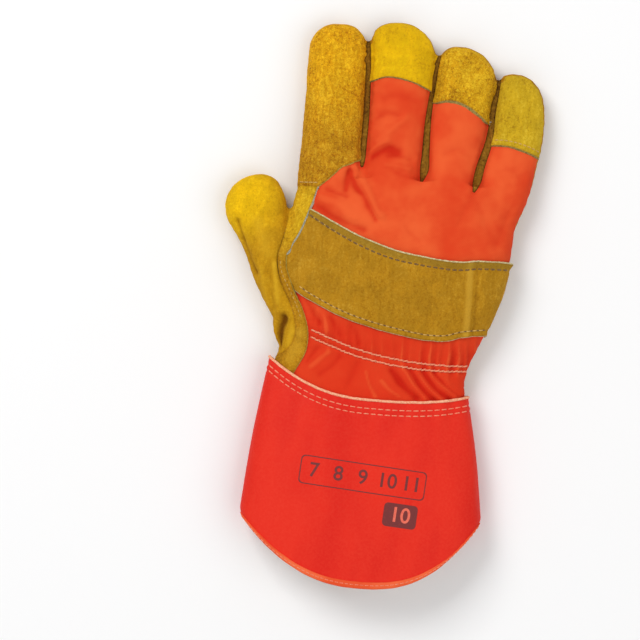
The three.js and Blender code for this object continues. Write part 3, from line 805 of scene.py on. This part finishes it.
tree.links.new(weighed(tree, (hair, 0.3), (tuft, 1.0), (brushed, 0.3), (curls, 0.25)), result["Height"])


def split_leather(name, dark, middle, light, curl=0.25, contrast=1.0, bright=None, shaded=0.35):
    """Split leather in three tones of its dye. bright is x, y and radius in mm of a spot of painted
    highlight, and how much lighter its red, green and blue are. shaded is how dark the painted shade along
    its edges is."""
    material, tree, shader, at = start_material(
        name, 0.95, sheen_weight=0.15, sheen_roughness=0.5, sheen_tint=colour(light), specular_ior_level=0.1)
    nap = add_node(tree, "Group", node_tree=nap_group)
    for source, socket in zip((at, dark, middle, light, curl, contrast), nap.inputs):
        put(tree, source, socket)
    paint = nap.outputs["Color"]
    # Painted highlight: a round spot made lighter where the light falls most on the piece.
    if bright:
        x, y, radius, gain = bright
        spot = add_node(tree, "Mapping", {"Location": (x * MM, y * MM, 0.02), "Scale": (radius * MM,) * 3},
                        {"Vector": at}, vector_type="TEXTURE")
        ball = add_node(tree, "TexGradient", links={"Vector": spot.outputs[0]}, gradient_type="SPHERICAL")
        paint = tint(tree, paint, ball.outputs[1], (0, 0.8), (*gain, 1), "MULTIPLY")
    # Painted shade: the leather turns a darker brown in its creases, by the depth each vertex keeps as fold,
    # and takes a painted highlight in its light tone on the ridges.
    paint = tint(tree, paint, kept(tree, "fold"), (-0.1, -3.2, 0, 0.85), "7A4E14", "MULTIPLY")
    paint = tint(tree, paint, kept(tree, "fold"), (0.1, 1.4, 0, 0.75), light)
    # Painted shade: darker near the piece's edges, by the share shaded, with a ragged inner border.
    painted_edge_shade = weighed(tree, (kept(tree, "edge"), 1.0), (grain(tree, at, 2.2), 1.4))
    paint = tint(tree, paint, painted_edge_shade, (0.5, 2.0, shaded, 0), dark, "MULTIPLY")
    paint = blend_colour(tree, maths(tree, "MULTIPLY", kept(tree, "lip"), 0.4), paint, "7E6C2C")
    coat(tree, shader, paint, nap.outputs["Height"], 0.7, 0.0009 * contrast**2)
    return material


def two_toned(name, dark, light, roughness, texture, span=(0.35, 0.65), bump=None, **sockets):
    """A fine texture in two tones: its size in mm, detail and so on, and its bump's strength and depth."""
    material, tree, shader, at = start_material(name, roughness, **sockets)
    speck = grain(tree, at, *texture)
    coat(tree, shader, tint(tree, dark, speck, span, light), *((speck, *bump) if bump else ()))
    return material


def fibre_edge(name, dark, light):
    """The cut edge of leather or cloth, full of short fibres."""
    return two_toned(name, dark, light, 0.95, (0.9, 4, 0.7, 0.6), bump=(0.6, 0.0004))


raw_leather = fibre_edge("cut_leather_edge", "8A8C78", "C8CAB4")
pale_leather = fibre_edge("pale_leather_edge", "A08E58", "DCD0A4")
olive_leather = fibre_edge("olive_leather_edge", "6A5622", "AC9650")
yellow_edge = fibre_edge("yellow_leather_edge", "94822E", "CAB450")
fleece = two_toned("white_fleece", "B9B2A4", "EFEBE2", 0.95, (2.4, 4, 0.7, 1.5, "RIDGED_MULTIFRACTAL"),
                   (0.2, 1.1), (0.9, 0.0015), sheen_weight=0.4)
HIDE, STRIP_HIDE, CLOTH_WALL = 2.2, 1.6, 2.0

# Palm
# The front of the hand and of three fingers in one hide, wrapped round beside the thumb on to the back,
# where its raw edge lies over the cloth and over the strap's end.
palm_leather = split_leather("palm_leather", "94640E", "B47E14", "D2A22C", curl=0.4,
                             bright=(-44, 48, 34, (1.42, 1.75, 1.3)))
bm = take_piece("palm")
raise_edge(bm, WRAP_EDGE + WRIST_EDGE, height=1.0, reach=9, over=1.8)
cut_lip(bm, WRAP_EDGE, ZONES["hand_back"], -1, out=1.2, down=1.1)
cut_lip(bm, WRIST_EDGE, ZONES["hand_back"], -1, out=0.5, slot=3)
dress("palm_leather", bm, (palm_leather, raw_leather, fleece, yellow_edge), "palm", HIDE)

# Index finger
# A whole finger of the same split leather, lined with fleece and sewn to the palm at its root. Its back
# ends in a slanting raw edge that lies over the cloth.
index_leather = split_leather("index_leather", "9C600E", "BE8414", "E6B430", curl=0.9, contrast=1.2,
                              bright=(-33, 160, 80, (1.35, 1.4, 0.7)))
bm = take_piece("index_finger")
raise_edge(bm, INDEX_EDGE, height=1.2, reach=8)
cut_lip(bm, INDEX_EDGE, ZONES["index_finger"], 1)
dress("index_leather", bm, (index_leather, yellow_edge, fleece), "index_finger", HIDE)

# Thumb
# A tube of brighter split leather, lined with fleece. It is full at its end and narrow at its root, where
# it is sewn into the side of the palm.
thumb_leather = split_leather("thumb_leather", "A8780E", "BE8A12", "DAAA24", curl=0.4, contrast=0.8,
                              bright=(-84, 58, 36, (1.5, 1.75, 0.7)))
dress("thumb_leather", take_piece("thumb"), (thumb_leather, raw_leather, fleece),
      "thumb", HIDE)

# Fingertip caps
# Three caps of split leather sewn over the ends of the cloth. The lower edge of each is left raw and lies
# on the cloth.
# Columns: dark, middle and light tone, curl, contrast, and the width of the raw edge in mm.
CAPS = {"middle": ("C4920C", "DEAE0C", "F0C80E", 0.15, 0.8, 0.9),
        "ring": ("A46C0E", "D29A14", "F8CE30", 1.0, 1.2, 2.7),
        "little": ("A67E14", "C6A01C", "E2C038", 0.35, 0.9, 1.1)}
for name, (*tones, lip) in CAPS.items():
    node_name = "fingertip_cap_" + name
    bm = take_piece(node_name)
    raise_edge(bm, CAP_EDGES[name], height=1.2, reach=8)
    cut_lip(bm, CAP_EDGES[name], ZONES[node_name], 1, out=lip, down=1.1, thin=6)
    cap_leather = split_leather(name + "_cap_leather", *tones)
    dress(node_name + "_leather", bm, (cap_leather, olive_leather, fleece), node_name, HIDE)

# Side strips
# Narrow strips of browner split leather, sewn in between the fingers and sunk between their rounded
# sides.
# Their edges get strong painted shade, for the shadow of the fingers on both sides.
strip_leather = split_leather("strip_leather", "5A3A12", "865E18", "AC802C", curl=0.2, shaded=0.95)
for name in STRIP_ROWS:
    node_name = "side_strip_" + name
    dress(node_name + "_leather", take_piece(node_name), (strip_leather, olive_leather, fleece),
          node_name, STRIP_HIDE)

# Cloth back
# Orange cotton drill over the back of the hand and of three fingers, redder where it goes under the cuff,
# with the diagonal ribs of its weave.
weave_group, entry, result = start_group(
    "drill_weave", {"Vector": "Vector", "Pitch": "Float", "Angle": "Float"}, {"Rib": "Float"})
turned = add_node(weave_group, "VectorRotate", {"Axis": (0, 0, 1)},
                  {"Vector": entry["Vector"], "Angle": entry["Angle"]}, rotation_type="AXIS_ANGLE")
threads = [add_node(weave_group, "TexWave", {"Distortion": 0.8, "Detail": 2.0, "Detail Scale": 2.0},
                    {"Vector": vector, "Scale": maths(weave_group, "DIVIDE", 314.0, entry["Pitch"])},
                    bands_direction=way).outputs["Fac"]
           for way, vector in (("X", turned.outputs[0]), ("Y", entry["Vector"]))]
weave_group.links.new(weighed(weave_group, *zip(threads, (0.7, 0.3))), result["Rib"])


def woven(name, dark, light, pitch, angle, depth, roughness=0.85, wrist=None):
    """Woven cloth in two tones. wrist is the tone it turns to towards the cuff."""
    material, tree, shader, at = start_material(name, roughness, specular_ior_level=0.12)
    weave = add_node(tree, "Group", {"Pitch": pitch, "Angle": angle}, {"Vector": at}, node_tree=weave_group)
    rib = weave.outputs["Rib"]
    tone = weighed(tree, (grain(tree, at, 30, 3, 0.6), 0.7), (rib, 0.12))
    paint = tint(tree, dark, tone, (0.28, 0.56), light)
    if wrist:
        height = add_node(tree, "SeparateXYZ", links={0: at}).outputs["Y"]
        paint = tint(tree, paint, height, (-0.030, 0.030, 0.75, 0), wrist)
    # Painted shade in the cloth's creases and painted highlights on its ridges, from the depth each vertex
    # keeps as fold.
    paint = tint(tree, paint, kept(tree, "fold"), (0.0, -1.8, 0, 0.7), dark, "MULTIPLY")
    paint = tint(tree, paint, kept(tree, "fold"), (0.1, 1.1, 0, 0.6), light)
    # Painted shade along the piece's edges, where it meets the next piece.
    paint = tint(tree, paint, kept(tree, "edge"), (0.3, 2.5, 0.35, 0), dark, "MULTIPLY")
    coat(tree, shader, paint, rib, 0.35, depth)
    return material


cotton = woven("orange_cotton", "DA401C", "E85E2E", 0.75, 0.8, 0.0001, wrist="D62A12")
cloth_edge = fibre_edge("cut_cloth_edge", "B8401E", "E08A5A")
dress("back_cloth", take_piece("hand_back"), (cotton, cloth_edge, fleece), "hand_back",
      CLOTH_WALL)

# Knuckle strap
# A broad band of ochre hide laid over the cloth from the palm's raw edge to the far side seam. It is sewn
# along both long edges, and its upper edge stands up a little.
strap_leather = split_leather("strap_leather", "9E6C10", "B07E18", "CA9A30", curl=0.35, contrast=0.9)
# It is cut from the skin above a height and between two places along the hand, in mm.
STRAP_LOW, STRAP_FROM, STRAP_TO = 6, -30, 65
bm = strap_skin
middles = [(f, f.calc_center_median() / MM) for f in bm.faces]
far_off = [f for f, middle in middles if middle.z < STRAP_LOW or not STRAP_FROM < middle.y < STRAP_TO]
bmesh.ops.delete(bm, geom=far_off, context="FACES")
cut(bm, STRAP_ZONE, 1)
layer = bm.faces.layers.int["piece"]
bmesh.ops.delete(bm, geom=[f for f in bm.faces if f[layer] != 1], context="FACES")
relax(bm, [v for v in bm.verts if not v.is_boundary], 12)
bm.normal_update()
places = places_of(bm)
top, foot = line_distance(places, STRAP_TOP), line_distance(places, STRAP_FOOT)
# A crease runs across the band near its right end, from its lower edge to its upper one.
crease = places[:, 0] - np.interp(places[:, 1], (-13.5, 8, 28), (58, 57.9, 57))
# The band lies on the cloth. Its upper edge stands up, both rows of stitches are sunk, and it ends thin.
laid = 1.7 + 0.8 * (1 - ease(0, 3.6, top)) - 0.5 * furrow(top - 4.4, 1.1) - 0.5 * furrow(foot - 3, 1.0)
laid += 0.7 * furrow(crease + 2, 2.8) - 0.6 * furrow(crease - 2.4, 1.8) + 0.3 * cloudy(places, 22, 11)
push(bm, laid * ease(1.5, -1.5, zone_distance(places, ZONES["hand_back"])))
bm.normal_update()
mark_edges(bm)
lip, fold_layer = bm.verts.layers.float.new("lip"), bm.verts.layers.float["fold"]
# The crease across the band is kept as fold, so its finish paints shade in the hollow and a highlight on the
# ridge beside it.
for vert, away, across in zip(bm.verts, top, crease):
    vert[lip] = float(ease(4.4, 3.2, away))
    vert[fold_layer] = float(1.4 * furrow(across + 1.6, 2.4) - 1.2 * furrow(across - 2.4, 1.4))
cut_lip(bm, STRAP_TOP, STRAP_ZONE, 1, out=0.8, down=0.5)
cut_lip(bm, STRAP_FOOT, STRAP_ZONE, 1, out=0.35, down=0.6)
dress("strap_leather", bm, (strap_leather, pale_leather, olive_leather), "knuckle_strap", 1.2)

# Cuff
# A long flared cuff of rubberised cotton, sewn over the end of the hand with two rows of stitches, its
# upper edge left raw. Its outside is smooth and red, its inside shows the pale cotton.
# How far it stands off the hand, and how far below its upper edge its rows of stitches lie, in mm.
CUFF_OUT = 1.9
CUFF_ROWS = 5, 8.2
cuff_bm = bmesh.new()
cuff_lines = np.linspace(CUFF_TOP, HEM - 0.01, 100)
add_tube(cuff_bm, (hand_ring(at, CUFF_OUT, 144) for at in cuff_lines), capped=False)
face_out(cuff_bm)
places = places_of(cuff_bm)
drop = below_line(places, hand_ring(CUFF_TOP, CUFF_OUT, 144))
top_side = ease(0.0, 0.5, np.array([v.normal.z for v in cuff_bm.verts]))
# Its upper side swells and is drawn in softly below its seam, and its rows of stitches are sunk.
swells = 0.7 * cloudy(places * (1, 0.55, 1), 34, 21) + 0.2 * cloudy(places * (1, 0.4, 1), 11, 22)
drawn = 0.5 * waves(places[:, 0], 15, 1.5 * cloudy(places, 20, 23)) * furrow(drop, 22)
rows_sunk = 0.35 * sum(furrow(drop - row, 0.8) for row in CUFF_ROWS)
rows_sunk -= 0.3 * furrow(drop - sum(CUFF_ROWS) / 2, 0.9)
push(cuff_bm, (swells + drawn) * top_side - rows_sunk + 0.25 * furrow(drop, 1.2))
mark_edges(cuff_bm)
cuff_surface = BVHTree.FromBMesh(cuff_bm)

rubber, tree, shader, at = start_material("rubberised_cotton", 0.6, specular_ior_level=0.14)
weave = add_node(tree, "Group", {"Pitch": 0.6, "Angle": 0.0}, {"Vector": at}, node_tree=weave_group)
tone = grain(tree, stretched(tree, at, 0, (1, 0.4, 1)), 34, 3, 0.55)
specks = grain(tree, at, 1.4, 3, 0.6)
paint = tint(tree, "D81E10", tone, (0.35, 0.66), "E22A18")
paint = tint(tree, paint, specks, (0.3, 0.75, 0, 0.12), "F05A40")
tree.links.new(spread(tree, tone, 0.3, 0.7, 0.52, 0.64), shader.inputs["Roughness"])
coat(tree, shader, paint, weighed(tree, (weave.outputs["Rib"], 0.5), (specks, 0.5)), 0.22, 0.00015)
cuff_edge = fibre_edge("cut_cuff_edge", "E88C66", "FAC09A")
cuff_lining = woven("pale_backing", "CDBBA4", "EADCC8", 0.7, 0.0, 0.00015)
dress("cuff_cloth", cuff_bm, (rubber, cuff_edge, cuff_lining), "cuff", 1.4)


def drape(surface, x, y, above, upwards=False):
    """The point of a surface over or under a place in plan, in mm."""
    start = Vector((x * MM, y * MM, -0.02 if upwards else 0.1))
    hit, normal = surface.ray_cast(start, Vector((0, 0, 1 if upwards else -1)))[:2]
    if hit is None:
        return None
    spot = np.array(hit + normal.normalized() * (above * MM)) / MM
    return np.maximum(spot, (-1e3, -1e3, 0.3))


def add_cord(bm, path, radius, sides, closed=False):
    """Adds a slightly flattened thread along points in mm."""
    path = np.array(path, float)
    ahead = np.roll(path, -1, axis=0) - np.roll(path, 1, axis=0)
    if not closed:
        ahead[0], ahead[-1] = path[1] - path[0], path[-1] - path[-2]
    ahead /= np.linalg.norm(ahead, axis=1)[:, None]
    across = np.cross(ahead, (0, 0, 1))
    across /= np.linalg.norm(across, axis=1)[:, None]
    over = np.cross(across, ahead)
    turn = np.arange(sides) * 2 * np.pi / sides
    rings = [p + radius * (np.outer(np.cos(turn), a) + 0.8 * np.outer(np.sin(turn), o))
             for p, a, o in zip(path, across, over)]
    add_tube(bm, rings, capped=not closed, round_again=closed)


# The cuff's raw upper edge rolls out into a pale line of cotton all round.
BEAD_RADIUS = 0.8
bead_bm = bmesh.new()
bead_path = hand_ring(CUFF_TOP, CUFF_OUT + 0.15, 220)
bead_path[:, 2] += np.where(bead_path[:, 2] > 6, 0.15, 0)
for point in bead_path:
    lying = drape(cuff_surface, point[0], point[1] - 0.7, 0)
    if lying is not None and point[2] > 14:
        point[2] = lying[2] + 0.1
bead_path[:, 2] = np.maximum(bead_path[:, 2], 0.7)
add_cord(bead_bm, bead_path, BEAD_RADIUS, sides=10, closed=True)
face_out(bead_bm)
for vert in bead_bm.verts:
    vert.co += Vector((0, 1, 0.4)) * (0.22 * MM * noise.noise(vert.co * 420))
    vert.co.z = max(vert.co.z, 0)
dress("cuff_raw_edge", bead_bm, [cuff_edge])

# Hem binding
# A folded woven tape sewn over the cuff's hem, a little lighter than the cuff and standing proud on both
# of its faces.
# Its section, as fractional lines of the cuff and heights over it in mm.
TAPE = [(9.93, 1.9), (9.931, 2.3), (9.938, 2.5), (9.966, 2.55), (9.99, 2.5), (9.998, 2.2), (10.001, 1.6),
        (10.001, 0.8), (9.998, 0.3), (9.99, 0.0), (9.966, -0.05), (9.938, 0.0), (9.931, 0.2), (9.93, 0.5)]
tape_bm = bmesh.new()
add_tube(tape_bm, [hand_ring(at, out, 200) for at, out in TAPE], capped=False, round_again=True)
face_out(tape_bm)
places = places_of(tape_bm)
flat_side = ease(0.2, 0.8, np.abs([v.normal.z for v in tape_bm.verts]))
push(tape_bm, 0.16 * waves(places[:, 0], 3.4) * flat_side + 0.12 * cloudy(places, 6, 31))
tape_surface = BVHTree.FromBMesh(tape_bm)
tape_cloth = woven("binding_tape", "EA5E30", "F8824E", 0.5, 0.0, 0.0002, roughness=0.7)
dress("hem_tape", tape_bm, [tape_cloth], "hem_binding")


# Stitches
# Every row is sewn through the piece below it: pale cotton thread on the cuff and at the elastic, waxed tan
# thread on the leather. Each stitch is a short length of thread whose ends dive into its holes.
def thread(name, dark, light):
    """Twisted sewing thread."""
    return two_toned(name, dark, light, 0.75, (0.6, 3, 0.6), bump=(0.5, 0.0002), sheen_weight=0.2)


pale_thread = thread("pale_thread", "E27650", "F2A47C")
soft_thread = thread("soft_thread", "E86A48", "F8A07C")
tan_thread = thread("tan_thread", "B88A30", "DEB862")
# Dark brown thread that stands for the painted shade in stitch holes.
hole_shade_thread = thread("hole_shade_thread", "5E4012", "866226")
# A stitch's points: their shares of its length, and how high each lies in radii of the thread.
STITCH = (0, -0.55), (0.22, 0.5), (0.5, 0.8), (0.78, 0.5), (1, -0.55)


def resample(path, pitch):
    """Evenly spaced points along a line, in whole fours."""
    path = np.array(path, float)
    run = np.concatenate([[0], np.cumsum(np.linalg.norm(np.diff(path, axis=0), axis=1))])
    at = np.linspace(0, run[-1], 4 * max(round(run[-1] / pitch / 4), 1) + 1)
    return np.column_stack([np.interp(at, run, column) for column in path.T])


def inset_line(line, distance):
    """A line moved sideways, to its left for a distance above 0."""
    line = np.array(line, float)[:, :2]
    ahead = np.gradient(line, axis=0)
    ahead /= np.hypot(ahead[:, 0], ahead[:, 1])[:, None]
    return line + distance * np.column_stack([-ahead[:, 1], ahead[:, 0]])


def sew(bm, surface, line, pitch, gap, radius, above=0.0, slant=0.0, upwards=False, late=0):
    """Sews a row of stitches along a line seen from above, starting some quarter stitches late."""
    points = resample(line, pitch / 4)[late:]
    for i in range(0, len(points) - 4, 4):
        start, way = points[i], points[i + 4] - points[i]
        length = math.hypot(*way)
        side = np.array((-way[1], way[0])) / length
        run = max(length - gap, 0.4) / max(length, 1e-6)
        stitch = []
        for share, rise in STITCH:
            lean = slant * (share - 0.5) * (1 + 0.5 * math.sin(i * 1.1))
            x, y = start + way * (0.5 + (share - 0.5) * run) + side * lean
            stitch.append(drape(surface, x, y, above + rise * radius, upwards))
        if all(p is not None for p in stitch):
            add_cord(bm, stitch, radius, sides=6)


def sewn(name, bm, material):
    """Turns sewn stitches into one piece."""
    face_out(bm)
    dress(name, bm, [material])


def surface_of(*names):
    """The outer skins of finished pieces, to sew on."""
    bm = bmesh.new()
    for name in names:
        bm.from_mesh(bpy.data.objects[name].data)
    tree = BVHTree.FromBMesh(bm)
    bm.free()
    return tree


# The numbers of each row are its pitch, the gap between its stitches and its thread's radius, in mm.
bm = bmesh.new()
for share in (0, 1):
    line = [(x, y - share * np.interp(x, *ELASTIC_GAPS)) for x, y in ELASTIC_ROW]
    sew(bm, surface_of("back_cloth"), line, 2.7, -0.3, 0.48, above=0.3, slant=0.6)
sewn("elastic_stitches", bm, pale_thread)


def upper_side(ring):
    """The points of a ring's upper side in plan, from left to right."""
    ring = ring[ring[:, 2] > 6]
    return ring[np.argsort(ring[:, 0]), :2]


bm = bmesh.new()
for row in CUFF_ROWS:
    line = upper_side(hand_ring(CUFF_TOP, CUFF_OUT, 160)) - (0, row)
    sew(bm, cuff_surface, line, 4.2, 1.2, 0.35)
    sew(bm, cuff_surface, line[4:-4], 4.2, 1.2, 0.28, upwards=True)
sew(bm, tape_surface, upper_side(hand_ring(9.962, 2.55, 200))[3:-3], 3.0, 0.9, 0.22)
sewn("cuff_stitches", bm, soft_thread)

# Where the index finger's foot is sewn to the palm.
INDEX_FOOT = [(-52, 68.3), (-45, 68.4), (-38.6, 68.6)]
# The strap's upper row has mostly sunk out of sight, so its holes show, and so do some along the lower row.
# Short dark brown threads sunk into them stand for the shade in the holes.
upper_row = inset_line(STRAP_TOP, -np.interp(np.arange(len(STRAP_TOP)), (0, 18, 48), (2.8, 5, 4))[:, None])
lower_row = inset_line(STRAP_FOOT, -3)
strap_surface = surface_of("strap_leather")
bm = bmesh.new()
sew(bm, strap_surface, upper_row, 3.8, 1.1, 0.48, above=-0.12)
sew(bm, strap_surface, lower_row, 3.8, 2.4, 0.4, above=-0.1, late=2)
sewn("strap_stitch_holes", bm, hole_shade_thread)
bm = bmesh.new()
sew(bm, strap_surface, upper_row[:18], 3.8, 2.6, 0.24, late=2)
sew(bm, strap_surface, lower_row, 3.8, 1.4, 0.34)
sew(bm, surface_of("fingertip_cap_little_leather"), inset_line(CAP_EDGES["little"], 3), 2.8, 1.0, 0.32)
sew(bm, surface_of("index_leather"), INDEX_FOOT, 2.8, 0.6, 0.3, above=0.1)
sew(bm, surface_of("palm_leather"), inset_line(WRIST_EDGE[2:18], -2.4), 2.8, 1.2, 0.2, above=0.05)
sewn("leather_stitches", bm, tan_thread)

# Size print
# A plain size scale printed on the cuff in dark red ink: the sizes in a thin frame, and this glove's size
# left bare in a printed box.
# Sizes and places in mm. Each is printed just clear of the cuff, and the number in the box over its ink.
PRINT_X, PRINT_Y = 3.1, -102.9
PRINT_TILT = math.radians(-3.5)
FRAME_WIDTH, FRAME_HEIGHT, FRAME_LINE = 75, 17, 1.2
FIRST_SIZE, NEXT_SIZE, SIZE_HEIGHT = (-29, 1.8), (14.5, -0.89), 12
BOX_X, BOX_Y = PRINT_X + 23.8, PRINT_Y - 20.5
BOX_WIDTH, BOX_HEIGHT, BOX_SIZE_HEIGHT = 20, 14, 12.5
INK_LIFT, BARE_LIFT = 0.06, 0.12
ink = two_toned("print_ink", "6E1A18", "A02A22", 0.6, (1.1, 4, 0.7), (0.5, 0.8, 0, 0.5))
bare = two_toned("print_bare", "E86A50", "D64A3A", 0.6, (1.1,), (0.4, 0.8))


def on_cuff(x, y, points, above):
    """Lays a print's own points on the cuff round a place in plan."""
    c, s = math.cos(PRINT_TILT), math.sin(PRINT_TILT)
    return [drape(cuff_surface, x + px * c - py * s, y + px * s + py * c, above) for px, py in points]


def rounded_box(width, height, corner):
    """Outline of a box with rounded corners, round its own middle."""
    points = []
    for turn, (sx, sy) in enumerate(((1, 1), (-1, 1), (-1, -1), (1, -1))):
        for angle in np.linspace(turn, turn + 1, 9) * math.pi / 2:
            points.append((sx * (width / 2 - corner) + corner * math.cos(angle),
                           sy * (height / 2 - corner) + corner * math.sin(angle)))
    return resample(points + points[:1], 0.9)


def add_print(bm, x, y, outlines, above):
    """Adds a printed shape as bands between outlines that have the same number of points."""
    add_tube(bm, [on_cuff(x, y, outline, above) for outline in outlines], capped=False)


def add_number(bm, text, size, x, y, above):
    """Adds a printed number."""
    font = bpy.data.curves.new("number", "FONT")
    font.body = text
    font.size = size
    font.offset = 0.012 * size
    font.align_x, font.align_y = "CENTER", "CENTER"
    carrier = bpy.data.objects.new("number", font)
    mesh = bpy.data.meshes.new_from_object(carrier)
    bpy.data.objects.remove(carrier)
    for vert in bm.verts:
        vert.tag = True
    bm.from_mesh(mesh)
    fresh = [v for v in bm.verts if not v.tag]
    for vert, spot in zip(fresh, on_cuff(x, y, [v.co.xy for v in fresh], above)):
        vert.co = Vector(spot) * MM


ink_bm, bare_bm = bmesh.new(), bmesh.new()
outer = rounded_box(FRAME_WIDTH, FRAME_HEIGHT, 2.5)
inner = outer * (1 - FRAME_LINE / FRAME_WIDTH, 1 - FRAME_LINE / FRAME_HEIGHT)
add_print(ink_bm, PRINT_X, PRINT_Y, [outer, inner], INK_LIFT)
for i, text in enumerate(("7", "8", "9", "10", "11")):
    x, y = PRINT_X + FIRST_SIZE[0] + NEXT_SIZE[0] * i, PRINT_Y + FIRST_SIZE[1] + NEXT_SIZE[1] * i
    add_number(ink_bm, text, SIZE_HEIGHT, x, y, INK_LIFT)
box = rounded_box(BOX_WIDTH, BOX_HEIGHT, 2.4)
add_print(ink_bm, BOX_X, BOX_Y, [box * share for share in (1, 0.8, 0.6, 0.4, 0.2, 0.02)], INK_LIFT)
add_number(bare_bm, "10", BOX_SIZE_HEIGHT, BOX_X, BOX_Y, BARE_LIFT)
for name, bm, material in (("size_print", ink_bm, ink), ("size_print_number", bare_bm, bare)):
    bmesh.ops.recalc_face_normals(bm, faces=bm.faces)
    for face in bm.faces:
        if face.normal.z < 0:
            face.normal_flip()
    piece = new_piece(name, bm, material)
    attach(piece, "root")
